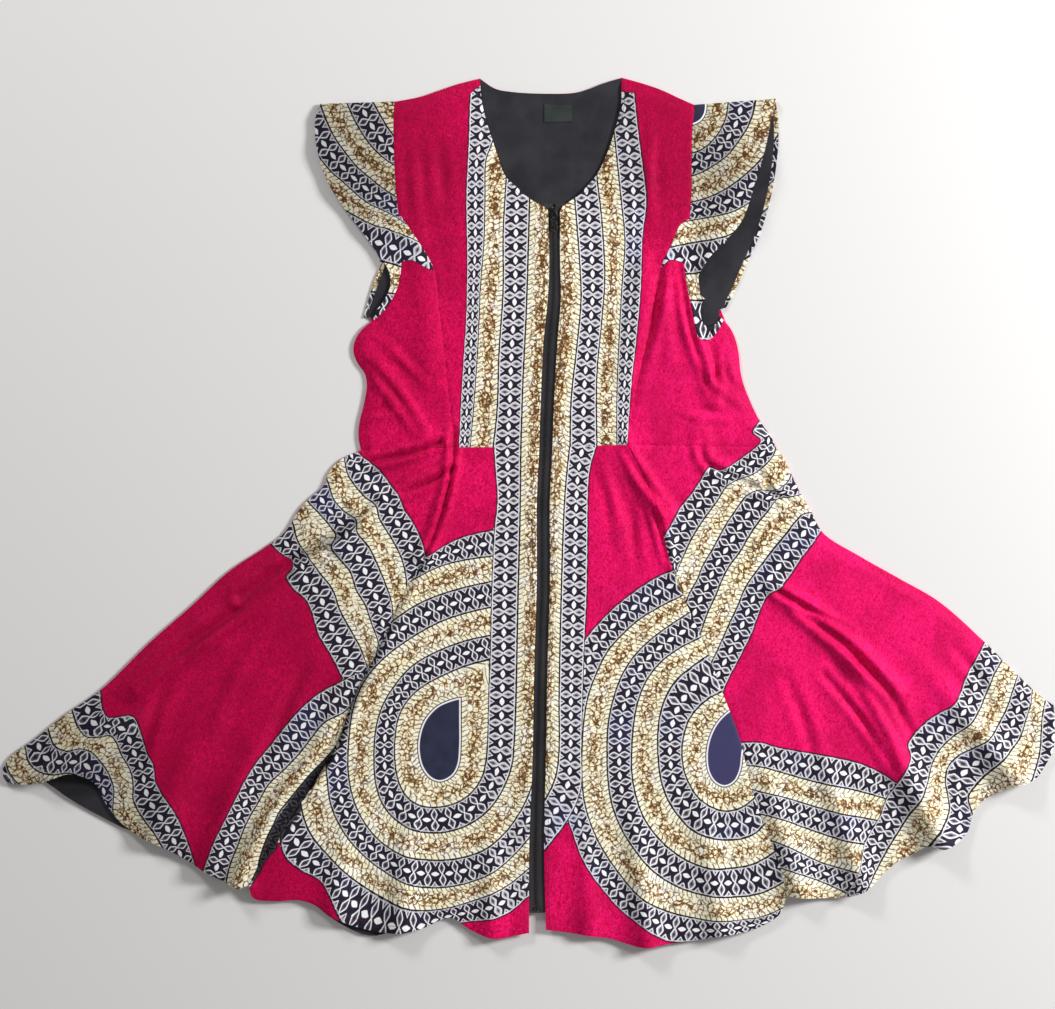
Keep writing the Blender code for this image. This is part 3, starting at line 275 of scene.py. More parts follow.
# ------------------------------------------------------------------ folds, mm
# crest path, height at its two ends, half width at its two ends, lean of one flank
FOLDS = [
    (pairs(-355,-150, -440,-240, -505,-285, -568,-330), 0, 15, 16, 30, 1.0),
    (pairs(-330,-190, -400,-290, -452,-405), 0, 10, 16, 32, 1.0),
    (pairs(-290,-190, -340,-310, -385,-440), 0, 12, 16, 26, 1.0),
    (pairs(-180,-115, -222,-210, -252,-286, -300,-355, -338,-425, -352,-458), 0, 17, 14, 23, 1.35),
    (pairs(-262,-50, -330,-112, -400,-165, -470,-212), 3, 7, 15, 20, 1.0),
    (pairs(-200,-330, -222,-410, -232,-492), 0, 9, 18, 28, 1.0),
    (pairs(-120,-300, -142,-400, -152,-510), 0, 11, 16, 28, 1.0),
    (pairs(-45,-330, -42,-420, -42,-515), 0, 8, 16, 24, 1.0),
    (pairs(70,-320, 72,-420, 74,-512), 0, 7, 16, 22, 1.0),
    (pairs(112,-270, 132,-400, 146,-524), 0, 13, 16, 27, 1.0),
    (pairs(190,-270, 214,-390, 234,-512), 0, 10, 16, 28, 1.0),
    (pairs(262,-250, 296,-350, 330,-468), 0, 13, 15, 26, 1.0),
    (pairs(330,-230, 368,-340, 404,-458), 0, 13, 16, 26, 1.0),
    (pairs(380,-180, 440,-290, 500,-405), 1, 18, 16, 28, 1.0),
    (pairs(450,-160, 520,-240, 592,-330), 1, 15, 16, 30, 1.0),
    (pairs(290,-88, 370,-150, 440,-218), 4, 6, 14, 18, 1.0),
    (pairs(-95,96, -94,40, -108,-14, -124,-58), 2, 5, 11, 13, 1.2),
    (pairs(-178,54, -146,66, -108,84), 3, 2, 12, 11, 1.0),
    (pairs(-160,12, -126,32, -96,56), 2, 3, 11, 11, 1.0),
    (pairs(116,96, 132,44, 168,-4), 3, 6, 12, 14, 1.0),
    (pairs(148,10, 166,-34, 180,-84), 4, 3, 13, 14, 1.0),
    (pairs(206,100, 212,66, 234,50), 3, 3, 12, 12, 1.0),
    (pairs(-192,176, -160,136, -126,94), 3, 4, 12, 13, 1.0),
    (pairs(186,292, 194,226, 208,180, 226,130), 3, 4, 11, 13, 1.0),
    (pairs(166,300, 166,240, 172,180), 4, 2, 11, 12, 1.0),
    (pairs(140,300, 128,226, 112,150), 5, 2, 16, 18, 1.0),
    (pairs(-134,320, -122,240, -118,160), 3, 3, 22, 22, 1.0),
]
# finer creases: path, height (down is negative) at start, middle and end, half width
CREASES = [
    (pairs(-189,175, -160,140, -129,96), -1.0, -3.0, -1.2, 7),
    (pairs(-188,58, -145,68, -105,82), -1.8, -3.6, -2.4, 6),
    (pairs(-150,20, -122,33, -90,50), -1.8, -3.4, -2.2, 6),
    (pairs(-88,98, -93,40, -108,-18, -125,-56), -1.4, -3.0, -2.6, 5.5),
    (pairs(-285,-77, -380,-142, -477,-215), -1.5, -4.0, -1.0, 9),
    (pairs(163,294, 147,216, 130,156), -1.0, -3.6, -1.0, 8),
    (pairs(183,298, 193,228, 222,134), -1.0, -3.2, -1.0, 6),
    (pairs(221,198, 226,168, 225,138), -0.6, -2.4, -0.6, 6),
    (pairs(207,96, 213,60, 231,51), -1.0, -2.8, -0.8, 7),
    (pairs(117,76, 135,42, 168,-2), -0.8, -3.2, -0.8, 7),
    (pairs(147,12, 158,-20, 168,-60), -0.8, -2.6, -0.8, 6),
    (pairs(297,-95, 370,-150, 447,-227), -1.0, -3.6, -1.0, 9),
    (pairs(399,-227, 425,-270, 447,-318), -0.8, -2.8, -0.8, 8),
    (pairs(-140,452, -134,380, -128,330), 0.2, 1.4, 0.3, 9),
    (pairs(-108,470, -102,400, -96,330), 0.2, -1.3, 0.2, 10),
    (pairs(150,470, 146,400, 152,340), 0.2, 1.4, 0.3, 9),
    (pairs(-176,205, -150,180, -122,150), 0.4, 1.8, 0.4, 8),
    (pairs(-196,108, -170,112, -138,124), 0.4, 1.6, 0.3, 7),
    (pairs(205,180, 226,150, 262,122), 0.4, 1.8, 0.4, 7),
    (pairs(232,196, 240,160, 262,140), 0.4, -1.6, -0.4, 6),
    (pairs(180,120, 205,112, 240,108), 0.3, 1.6, 0.3, 7),
    (pairs(88,62, 104,10, 112,-50), 0.2, 1.8, 0.2, 9),
    (pairs(122,40, 126,-20, 132,-80), 0.2, -1.4, -0.2, 8),
    (pairs(-420,-180, -450,-250, -470,-320), 0.2, -2.2, -0.6, 10),
    (pairs(-300,-120, -350,-200, -380,-280), 0.2, 1.6, 0.3, 12),
    (pairs(-250,-150, -296,-250, -330,-330), 0.2, -1.6, -0.4, 10),
    (pairs(500,-150, 540,-200, 560,-250), 0.3, -2.0, -0.6, 9),
    (pairs(340,-110, 400,-200, 430,-280), 0.2, 1.6, 0.4, 11),
    (pairs(300,-180, 330,-250, 350,-320), 0.2, -1.8, -0.4, 10),
    (pairs(-232,26, -214,-8, -196,-44), 0.6, -1.8, -0.4, 8),
    (pairs(-268,-34, -244,-44, -220,-70), 0.4, -2.2, -0.4, 7),
    (pairs(268,62, 286,34, 300,2), 0.4, -2.2, -0.5, 7),
    (pairs(300,26, 276,6, 252,-22), 0.3, 1.8, 0.4, 8),
    (pairs(322,2, 296,-40, 276,-84), 0.4, -1.8, -0.4, 8),
    (pairs(-121,-55, -148,-98, -172,-152, -208,-222, -230,-280, -262,-330), -2.0, -3.4, -4.0, 7),
    (pairs(-345,-104, -286,-63, -237,-36, -201,-5, -183,13), -3.0, -4.2, -2.2, 8),
    (pairs(327,-120, 384,-168, 430,-215, 459,-264), -1.6, -3.6, -1.2, 8),
    (pairs(354,-196, 400,-250, 438,-310), -1.0, -3.0, -1.0, 7),
    (pairs(301,-98, 345,-122, 387,-145), -2.6, -3.2, -0.8, 6),
    (pairs(218,52, 236,46, 252,36, 290,22, 330,4), -1.6, -2.8, -1.2, 6),
]
VALLEY = pairs(-244,-298, -259,-319, -269,-340, -284,-362, -298,-383, -309,-403, -319,-420, -326,-436)
PUCKERED = [PRINCESS_L, PRINCESS_R, GORE_L, GORE_R, SIDE_BODICE_L, SIDE_BODICE_R, SIDE_SKIRT_L,
            SIDE_SKIRT_R, ARM_UPPER_L, ARM_UPPER_R, ARM_LOWER_L, ARM_LOWER_R,
            [(-87, 76), (14, 76)], [(30, 76), (119, 79)], [(-200, 72), (-87, 76)], [(119, 79), (298, 76)]]
# shallow creases of the back and of the lining: path, height, half width
BACK_CREASES = [
    (pairs(-60,40, -150,-120, -260,-300), 0.5, 6.0), (pairs(60,30, 90,-160, 120,-380), 0.45, 6.0),
    (pairs(190,20, 300,-160, 390,-330), 0.5, 6.0), (pairs(-220,0, -360,-160, -480,-300), 0.45, 6.0),
    (pairs(-110,300, -90,200, -120,100), 0.4, 5.0), (pairs(150,320, 160,220, 210,110), 0.4, 5.0),
    (pairs(-60,440, 20,420, 100,446), 0.35, 5.0), (pairs(20,60, 10,-100, -10,-300), 0.4, 6.0),
]
LINING_CREASES = [
    (pairs(20,480, 26,440, 30,392), 0.45, 4.0), (pairs(-34,486, -14,440, 14,404), 0.35, 5.0),
    (pairs(84,490, 64,440, 44,400), 0.35, 5.0), (pairs(-30,450, 20,436, 76,446), 0.25, 6.0),
]


# ---------------------------------------------------------------- curve maths
def smooth_run(points: Run, per: int = 10) -> np.ndarray:
    """A smooth run through turning points.

    Args:
        points: turning points.
        per: samples between two turning points.

    Returns:
        Rows of (x, y).
    """
    p = np.array(points, float)
    if len(p) == 2:
        s = np.linspace(0.0, 1.0, per + 1)[:, None]
        return p[0] + (p[1] - p[0]) * s
    q = np.vstack([2 * p[0] - p[1], p, 2 * p[-1] - p[-2]])
    out = []
    for k in range(1, len(q) - 2):
        a, b, c, d = q[k - 1], q[k], q[k + 1], q[k + 2]
        t1 = max(np.linalg.norm(b - a), 1e-6) ** 0.5
        t2 = t1 + max(np.linalg.norm(c - b), 1e-6) ** 0.5
        t3 = t2 + max(np.linalg.norm(d - c), 1e-6) ** 0.5
        for t in np.linspace(t1, t2, per, endpoint=False):
            a1 = (t1 - t) / t1 * a + t / t1 * b
            a2 = (t2 - t) / (t2 - t1) * b + (t - t1) / (t2 - t1) * c
            a3 = (t3 - t) / (t3 - t2) * c + (t - t2) / (t3 - t2) * d
            b1 = (t2 - t) / t2 * a1 + t / t2 * a2
            b2 = (t3 - t) / (t3 - t1) * a2 + (t - t1) / (t3 - t1) * a3
            out.append((t2 - t) / (t2 - t1) * b1 + (t - t1) / (t2 - t1) * b2)
    out.append(p[-1])
    return np.array(out)


def lengths(run: np.ndarray) -> np.ndarray:
    """Length reached at each point of a run."""
    return np.concatenate([[0.0], np.cumsum(np.linalg.norm(np.diff(run, axis=0), axis=1))])


def sampled(at: np.ndarray, length: np.ndarray, run: np.ndarray) -> np.ndarray:
    """A run's values at given lengths along it."""
    return np.stack([np.interp(at, length, run[:, k]) for k in (0, 1)], axis=1)


def stations(points: Run, count: int) -> np.ndarray:
    """`count` + 1 points evenly spaced along the smooth run."""
    run = smooth_run(points)
    length = lengths(run)
    return sampled(np.linspace(0.0, length[-1], count + 1), length, run)


def joined(*pieces: tuple[Run, int]) -> np.ndarray:
    """Several (points, count) runs one after another, sharing their end points."""
    return np.vstack([stations(*part)[min(k, 1):] for k, part in enumerate(pieces)])


def ease(t: np.ndarray | float) -> np.ndarray:
    """Smooth step from 0 to 1."""
    t = np.clip(t, 0.0, 1.0)
    return t * t * (3.0 - 2.0 * t)


def charted(points: Run) -> list[tuple[float, float]]:
    """Squares of the cutting chart as millimetres in the frame."""
    return [(CORNER[0] + SQUARE * x, CORNER[1] - SQUARE * y) for x, y in points]


@dataclass(frozen=True)
class Line:
    """A run on the plan that measures how far points lie from it.

    Attributes:
        run: rows of (x, y) along it.
    """

    run: np.ndarray

    @classmethod
    def through(cls, points: Run, per: int = 6, reach: float = 0.0) -> "Line":
        """A smooth line, drawn on past both ends by `reach` mm."""
        run = smooth_run(points, per)
        if reach > 0.0:
            head, tail = run[0] - run[2], run[-1] - run[-3]
            head, tail = head / np.linalg.norm(head), tail / np.linalg.norm(tail)
            run = np.vstack([run[0] + head * reach, run, run[-1] + tail * reach])
        return cls(run)

    def measure(self, xy: np.ndarray) -> tuple[np.ndarray, np.ndarray, np.ndarray]:
        """Distance, signed distance (left of the run is positive) and length along it.

        Args:
            xy: rows of plan points, mm.

        Returns:
            Three arrays, one value a point.
        """
        parts = [self._measure(xy[k:k + BATCH]) for k in range(0, len(xy), BATCH)]
        return tuple(np.concatenate([p[k] for p in parts]) for k in range(3))

    def _measure(self, xy: np.ndarray) -> tuple[np.ndarray, np.ndarray, np.ndarray]:
        """The same for one batch of points."""
        a, d = self.run[:-1], np.diff(self.run, axis=0)
        ll = np.maximum((d * d).sum(1), 1e-9)
        rx = xy[:, 0:1] - a[None, :, 0]
        ry = xy[:, 1:2] - a[None, :, 1]
        t = np.clip((rx * d[None, :, 0] + ry * d[None, :, 1]) / ll[None], 0.0, 1.0)
        gx, gy = rx - t * d[None, :, 0], ry - t * d[None, :, 1]
        far = np.sqrt(gx * gx + gy * gy)
        seg = np.sqrt(ll)
        offset = (d[None, :, 0] * ry - d[None, :, 1] * rx) / seg[None]
        least = far.min(1)
        k = np.where(far <= least[:, None] + 1e-6, np.abs(offset), -1.0).argmax(1)
        rows = np.arange(len(xy))
        start = np.concatenate([[0.0], np.cumsum(seg)])
        side = np.where(offset[rows, k] >= 0.0, 1.0, -1.0)
        return least, side * least, start[k] + t[rows, k] * seg[k]

    def share(self, xy: np.ndarray) -> tuple[np.ndarray, np.ndarray, np.ndarray]:
        """Distance, signed distance and share of the run reached."""
        far, signed, along = self.measure(xy)
        return far, signed, along / lengths(self.run)[-1]


def nearest(lines: Sequence[Run], xy: np.ndarray) -> np.ndarray:
    """Distance to the nearest of several lines, mm."""
    return np.min([Line.through(line).measure(xy)[0] for line in lines], axis=0)


def ridges(lines: Sequence[tuple[Run, float, float]], xy: np.ndarray, end: float) -> np.ndarray:
    """Height of soft ridges that fade towards their ends.

    Args:
        lines: a path, a height and a half width for each, mm.
        xy: rows of plan points, mm.
        end: share of its length at which a ridge has faded.

    Returns:
        Their sum in mm.
    """
    rise = np.zeros(len(xy))
    for path, height, wide in lines:
        gap, _, share = Line.through(path).share(xy)
        rise += height * np.sin(np.pi * np.clip(share, end, 1.0 - end)) * np.exp(-0.5 * (gap / wide) ** 2)
    return rise


def creases(xy: np.ndarray) -> Iterator[tuple[np.ndarray, np.ndarray, float]]:
    """Distance to each fine crease, its height there and its half width, mm."""
    for path, start, middle, end, wide in CREASES:
        gap, _, share = Line.through(path).share(xy)
        yield gap, np.interp(share, [0.0, 0.5, 1.0], [start, middle, end]), wide


# ------------------------------------------------------------------ print fields
@dataclass
class Bands:
    """Bands of the print at the points of a piece.

    Attributes:
        band: band number with its fraction; odd is navy, even gold, below nought a navy heart.
        chain: length along the nearest navy band, mm.
        grain: length along the nearest gold band, mm.
        inside: depth between the first and the last line, mm.
        outer: depth behind the first line, mm.
    """

    band: np.ndarray
    chain: np.ndarray
    grain: np.ndarray
    inside: np.ndarray
    outer: np.ndarray

    @staticmethod
    def where(mask: np.ndarray, a: "Bands", b: "Bands") -> "Bands":
        """Bands a where the mask holds, bands b elsewhere."""
        return Bands(*(np.where(mask, getattr(a, item.name), getattr(b, item.name)) for item in fields(Bands)))


@dataclass
class BandFamily:
    """Bands of the print between neighbouring lines of the chart.

    Attributes:
        edges: the lines, in squares, each beside the next.
        first: band number at the first line.
        left: True where the next line is on the left of each line as it runs.
        reach: how far the lines are drawn on past their ends, mm.
        anchor: square from whose nearest points the lengths are counted.
        stretch: how far the motif is drawn out along the bands.
        steps: stations along the middle of a band.
        overrun: how far the middle of a band is drawn on past its ends, mm.
    """

    edges: list[Run]
    first: int = 1
    left: bool = True
    reach: float = 30.0
    anchor: tuple[float, float] | None = None
    stretch: float = 1.0
    steps: int = 60
    overrun: float = 40.0

    def fields(self, xy: np.ndarray) -> Bands:
        """The bands at rows of plan points in mm."""
        turn = 1.0 if self.left else -1.0
        count = len(self.edges)
        depth, along = [], []
        for k, edge in enumerate(self.edges):
            reach = 0.0 if edge[0] == edge[-1] else self.reach
            depth.append(turn * Line.through(charted(edge), 6, reach).measure(xy)[1])
            middle = stations(charted(edge), self.steps)
            if k + 1 < count:
                middle = (middle + stations(charted(self.edges[k + 1]), self.steps)) / 2.0
            line = Line.through(self._calmed(middle)[::3], 3, self.overrun)
            start = self.overrun
            if self.anchor is not None:
                start = float(line.measure(np.array(charted([self.anchor])))[2][0])
            along.append((line.measure(xy)[2] - start) / self.stretch)
        band = self.first + depth[0] / BAND
        beyond = np.ones(len(xy), bool)
        for k in range(count):
            beyond &= depth[k] >= 0.0
            step = depth[k] / BAND
            if k + 1 < count:
                f = depth[k] / np.maximum(depth[k] - depth[k + 1], 1e-6)
                step = np.where(depth[k + 1] < 0.0, np.clip(f, 0.0, 1.0), 1.0)
            band = np.where(beyond, self.first + k + step, band)
        rows = np.arange(len(xy))
        table = np.array(along)
        chain, grain = table[self._nearest(band, 1), rows], table[self._nearest(band, 0), rows]
        return Bands(band, chain, grain, np.minimum(depth[0], -depth[-1]), depth[0])

    @staticmethod
    def _calmed(run: np.ndarray) -> np.ndarray:
        """A run with its small kinks taken out."""
        for _ in range(10):
            run = np.vstack([run[:1], run[1:-1] * 0.5 + (run[:-2] + run[2:]) * 0.25, run[-1:]])
        return run

    def _nearest(self, band: np.ndarray, odd: int) -> np.ndarray:
        """Index of the nearest band of one kind."""
        low = np.floor(band)
        other = np.where(band - low < 0.5, low - 1, low + 1)
        low = np.where(np.mod(low, 2) == odd, low, other)
        least = self.first + (self.first % 2 != odd)
        most = self.first + len(self.edges) - 1
        most -= most % 2 != odd
        return np.clip(low, least, most).astype(int) - self.first


@dataclass
class PrintField:
    """What the print does on one piece, as values at its points.

    Attributes:
        a: first set of bands.
        b: second set, which shows where pick is above nought.
        pick: chooses between the two sets.
        printed: depth inside the printed area, mm; crimson shows below nought.
    """

    a: Bands
    b: Bands
    pick: np.ndarray
    printed: np.ndarray

    @classmethod
    def single(cls, bands: Bands, printed: np.ndarray) -> "PrintField":
        """A field with one set of bands."""
        return cls(bands, bands, np.full(len(printed), -1.0), printed)

    def store(self, mesh: bpy.types.Mesh) -> None:
        """Writes the values on the mesh's points."""
        rows = {"pick": self.pick, "printed": self.printed, "shade_and_tone": painted_shade_and_tone(plan_of(mesh)),
                "thread_weight_and_shade": thread_weight_and_shade(plan_of(mesh))}
        for key, bands in (("a", self.a), ("b", self.b)):
            rows.update({n + "_" + key: getattr(bands, n) for n in ("band", "chain", "grain")})
        for name, values in rows.items():
            layer = mesh.attributes.new(name, "FLOAT", "POINT")
            layer.data.foreach_set("value", np.asarray(values, np.float32))


def squares(xy: np.ndarray) -> tuple[np.ndarray, np.ndarray]:
    """Plan millimetres as squares of the chart, right and down."""
    return (xy[:, 0] - CORNER[0]) / SQUARE, (CORNER[1] - xy[:, 1]) / SQUARE


def painted_shade_and_tone(xy: np.ndarray) -> np.ndarray:
    """Painted shade, about -1 to 1, with a little tone that varies in waves: darkest at the left, at the shoulders
    and in creases.
    """
    x, y = xy[:, 0], xy[:, 1]
    # painted shade, darker towards the left
    side = -0.8 * np.tanh((x + 60.0) / 240.0)
    # painted shade over the upper bodice, most on the right
    top = (0.45 + 0.4 * ease(x / 200.0)) * ease((y - 240.0) / 160.0)
    top += 0.5 * ease(x / 90.0) * ease((y - 190.0) / 110.0)
    # painted shade in the troughs of the fine creases
    crease_shade = np.zeros(len(xy))
    for gap, depth, wide in creases(xy):
        crease_shade = np.maximum(crease_shade, np.clip(-depth / 3.4, 0.0, 1.0) * np.exp(-0.5 * (gap / (0.55 * wide)) ** 2))
    # the wave is tone that varies over the cloth; the rest is painted shade
    return side + top + 0.10 * np.sin(x / 71.0 + y / 93.0) + 0.55 * crease_shade


def thread_weight_and_shade(xy: np.ndarray) -> np.ndarray:
    """How heavy the pale threads are: full in the bands at the zip; below nought it is painted shade along the gore's
    valley, which darkens the chain bands.
    """
    x, y = xy[:, 0], xy[:, 1]
    wide = 66.0 + 100.0 * ease((y - 70.0) / 8.0)
    # painted shade in the valley beside the left gore seam
    painted_valley_shade = ease(1.0 - (Line.through(VALLEY).measure(xy)[0] - 8.0) / 4.0)
    low = 0.4 * ease((x - 60.0) / 80.0) * ease((-120.0 - y) / 100.0)
    return np.maximum(ease((wide - np.abs(x - 19.0)) / 6.0), low) - painted_valley_shade


def beside(points: Run, xy: np.ndarray, reach: float = 30.0) -> np.ndarray:
    """Signed distance from a line of the chart, mm; its left is positive."""
    return Line.through(charted(points), 6, reach).measure(xy)[1]


Show = Callable[[np.ndarray], PrintField]


@dataclass(frozen=True)
class PrintPlan:
    """The dress's whole print, piece by piece; bare numbers are squares of the chart.

    Attributes:
        sweep_left, sweep_right: bands of the sleeves, which run on into the tips below them.
        ring_reach: how far the rings are drawn on past their ends, mm.
        tip_reach: how far the tips' edges are drawn on past their ends, mm.
        all_over: printed depth of a piece without a crimson part, mm.
    """

    sweep_left: BandFamily = field(default_factory=lambda: BandFamily(SLEEVE_L, 0, False, stretch=1.1))
    sweep_right: BandFamily = field(default_factory=lambda: BandFamily(SLEEVE_R, 0, stretch=1.05))
    ring_reach: float = 6.0
    tip_reach: float = 60.0
    all_over: float = 20.0

    def bodice_centre_left(self, xy: np.ndarray) -> PrintField:
        """Four upright bands beside the zip."""
        bands = BandFamily(RAIL_BODICE_L).fields(xy)
        return PrintField.single(bands, self._below_neck(xy, bands.outer, (470, 94), (482, 84)))

    def bodice_centre_right(self, xy: np.ndarray) -> PrintField:
        """Four upright bands beside the zip."""
        bands = BandFamily(RAIL_BODICE_R, left=False).fields(xy)
        return PrintField.single(bands, self._below_neck(xy, bands.outer, (636, 93), (624, 92)))

    @staticmethod
    def _below_neck(xy: np.ndarray, depth: np.ndarray, a: tuple[float, float], b: tuple[float, float]) -> np.ndarray:
        """Depth cut off above the line where the bands start at the neck."""
        signed = beside([a, b], xy, 200.0)
        return np.minimum(depth, signed if a[0] > b[0] else -signed)

    def skirt_centre_left(self, xy: np.ndarray) -> PrintField:
        """Upright bands at the zip over a drop ringed by six bands, and a strip of chain band in the gore's fold,
        dark with painted shade.
        """
        x, y = squares(xy)
        meeting = (500, 750)
        rail = BandFamily(RAIL_SKIRT_L, anchor=meeting).fields(xy)
        ring = BandFamily(RINGS_L, first=0, reach=self.ring_reach, anchor=meeting).fields(xy)
        edge = beside(RAIL_SKIRT_L[0], xy)
        strip = BandFamily([STRIP_L], left=False).fields(xy)
        # the strip in the fold: a chain band, its darkness painted shade along the valley
        dark = np.where((x < 380.0) & (y > 780.0), strip.outer, NOWHERE)
        pick = np.maximum(np.minimum(edge, (meeting[1] - y) * SQUARE), dark)
        printed = np.minimum(edge, (meeting[1] + 6.0 - y) * SQUARE)
        printed = np.maximum(printed, -beside(RINGS_L[-1], xy, self.ring_reach))
        return PrintField(ring, Bands.where(x < 400.0, strip, rail), pick, np.maximum(printed, dark))

    def skirt_centre_right(self, xy: np.ndarray) -> PrintField:
        """The same on the other side, its rings opening towards the hip."""
        meeting = (600, 785)
        rail = BandFamily(RAIL_SKIRT_R, left=False, anchor=meeting).fields(xy)
        ring = BandFamily(RINGS_R, first=0, reach=self.ring_reach, anchor=meeting).fields(xy)
        edge = -beside(RAIL_SKIRT_R[0], xy)
        return PrintField(ring, rail, edge, np.maximum(edge, -beside(RINGS_R[-1], xy, self.ring_reach)))

    def skirt_side_left(self, xy: np.ndarray) -> PrintField:
        """Bands over the hip, down the gore seam and round the point of the hem."""
        x, y = squares(xy)
        hip = BandFamily(HIP_L, left=False).fields(xy)
        tip = BandFamily(TIP_L, left=False).fields(xy)
        low = BandFamily(LOW_L).fields(xy)
        at_tip = x < 205.0
        split = beside(LOW_SPLIT_L, xy, 40.0)
        printed = np.maximum(np.where(at_tip & (y > 640), tip.outer, NOWHERE),
                             np.where(y > 660, np.minimum(low.outer, split), NOWHERE))
        printed = np.maximum(printed, np.where(at_tip, NOWHERE, np.minimum(hip.inside, 4.0 - split)))
        return PrintField(Bands.where(at_tip, tip, hip), low, split, printed)

    def skirt_side_right(self, xy: np.ndarray) -> PrintField:
        """Bands over the hip, across the low gore and along the hem's border."""
        _, y = squares(xy)
        hip = BandFamily(HIP_R).fields(xy)
        low = BandFamily(LOW_R, left=False).fields(xy)
        rim = BandFamily(BORDER_R).fields(xy)
        at_low = y > 716.0
        printed = np.maximum(rim.outer, np.where(at_low, low.outer, hip.inside))
        return PrintField(Bands.where(at_low, low, hip), rim, rim.outer, printed)

    def bodice_side_left(self, xy: np.ndarray) -> PrintField:
        """The sleeve's bands run on into the point above the princess seam."""
        return PrintField.single(self.sweep_left.fields(xy), beside(TIP_LINE_L, xy, self.tip_reach))

    def bodice_side_right(self, xy: np.ndarray) -> PrintField:
        """The sleeve's point above, the corner of the hip's bands below."""
        below = squares(xy)[1] - 340.0
        hip = BandFamily(HIP_R).fields(xy)
        printed = np.where(below < 0.0, -beside(TIP_LINE_R, xy, self.tip_reach), hip.inside)
        return PrintField(self.sweep_right.fields(xy), hip, below * SQUARE, printed)

    def sleeve_left(self, xy: np.ndarray) -> PrintField:
        """Bands that sweep down over the sleeve to the underarm."""
        return PrintField.single(self.sweep_left.fields(xy), np.full(len(xy), self.all_over))

    def sleeve_right(self, xy: np.ndarray) -> PrintField:
        """Bands ringed about the top of the armhole."""
        return PrintField.single(self.sweep_right.fields(xy), np.full(len(xy), self.all_over))


# ------------------------------------------------------------------ cloth heights
@dataclass
class ClothForm:
    """Height of the front cloth above the surface.

    Attributes:
        pinned: middle of the cloth where it is sewn to the back, mm.
        loose: middle of the cloth where it lies over the lining, mm.
        rise: how much the front edges lift over the zip tapes, mm.
        tallest: most that folds add where they cross, mm.
    """

    pinned: float = 2.6
    loose: float = 5.4
    rise: float = 1.9
    tallest: float = 24.0

    def front(self, xy: np.ndarray) -> np.ndarray:
        """Middle of the front cloth with its folds, creases and puckers.

        Args:
            xy: rows of plan points, mm.

        Returns:
            Heights in mm.
        """
        pin, zip_gap = nearest(PINNED, xy), nearest(ZIP_EDGES, xy)
        high = self.pinned + (self.loose - self.pinned) * ease(pin / 15.0)
        high = high + self.rise * ease(1.0 - zip_gap / 36.0)
        folds = np.zeros(len(xy))
        for path, high0, high1, wide0, wide1, lean in FOLDS:
            gap, side, share = Line.through(path).share(xy)
            crest = high0 + (high1 - high0) * ease(share)
            wide = wide0 + (wide1 - wide0) * share
            wide = np.where(side < 0, wide / lean, wide)
            folds += crest * np.exp(-0.5 * (gap / (0.48 * wide)) ** 2)
        folds = np.minimum(folds, self.tallest)
        folds *= 1.0 - 0.8 * np.exp(-((Line.through(VALLEY).measure(xy)[0] / 7.0) ** 2))
        fine = np.zeros(len(xy))
        for gap, depth, wide in creases(xy):
            g = gap / (0.5 * wide)
            fine += depth * (np.exp(-0.5 * g * g) - 0.75 * np.exp(-0.5 * (g - 2.4) ** 2))
        x, y = xy[:, 0], xy[:, 1]
        fine += 0.35 * np.sin(x / 17.0 + 1.3 * np.sin(y / 31.0)) * np.sin(y / 23.0 + 0.8 * np.sin(x / 29.0))
        for k, line in enumerate(PUCKERED):
            gap, _, along = Line.through(line).measure(xy)
            wave = np.sin(along / 2.4 + 1.7 * np.sin(along / 19.0 + k))
            fine += 0.32 * wave * np.exp(-gap / 5.0)
        folds *= ease(pin / 34.0) * ease(zip_gap / 26.0 + 0.15)
        return high + folds + np.maximum(1.25 * fine, -2.3 - 0.7 * folds) * ease(pin / 14.0) * ease(zip_gap / 12.0)


FORM = ClothForm()


# ---------------------------------------------------------------- shader helpers
@dataclass(frozen=True)
class Level:
    """A socket of a node tree, which takes part in sums as a number does.

    Attributes:
        nodes: the tree it belongs to.
        socket: where the value comes out.
    """

    nodes: "Nodes"
    socket: Socket

    def __add__(self, other: object) -> "Level":
        """Sum."""
        return self.nodes.math("ADD", self, other)

    def __sub__(self, other: object) -> "Level":
        """Difference."""
        return self.nodes.math("SUBTRACT", self, other)

    def __rsub__(self, other: object) -> "Level":
        """Difference from a number."""
        return self.nodes.math("SUBTRACT", other, self)

    def __mul__(self, other: object) -> "Level":
        """Product."""
        return self.nodes.math("MULTIPLY", self, other)

    def __truediv__(self, other: object) -> "Level":
        """Quotient."""
        return self.nodes.math("DIVIDE", self, other)

    def __pow__(self, other: object) -> "Level":
        """Power."""
        return self.nodes.math("POWER", self, other)

    def __abs__(self) -> "Level":
        """Size without its sign."""
        return self.nodes.math("ABSOLUTE", self)

    def __lt__(self, other: object) -> "Level":
        """1 where it is the smaller."""
        return self.nodes.math("LESS_THAN", self, other)

    def __gt__(self, other: object) -> "Level":
        """1 where it is the greater."""
        return self.nodes.math("GREATER_THAN", self, other)


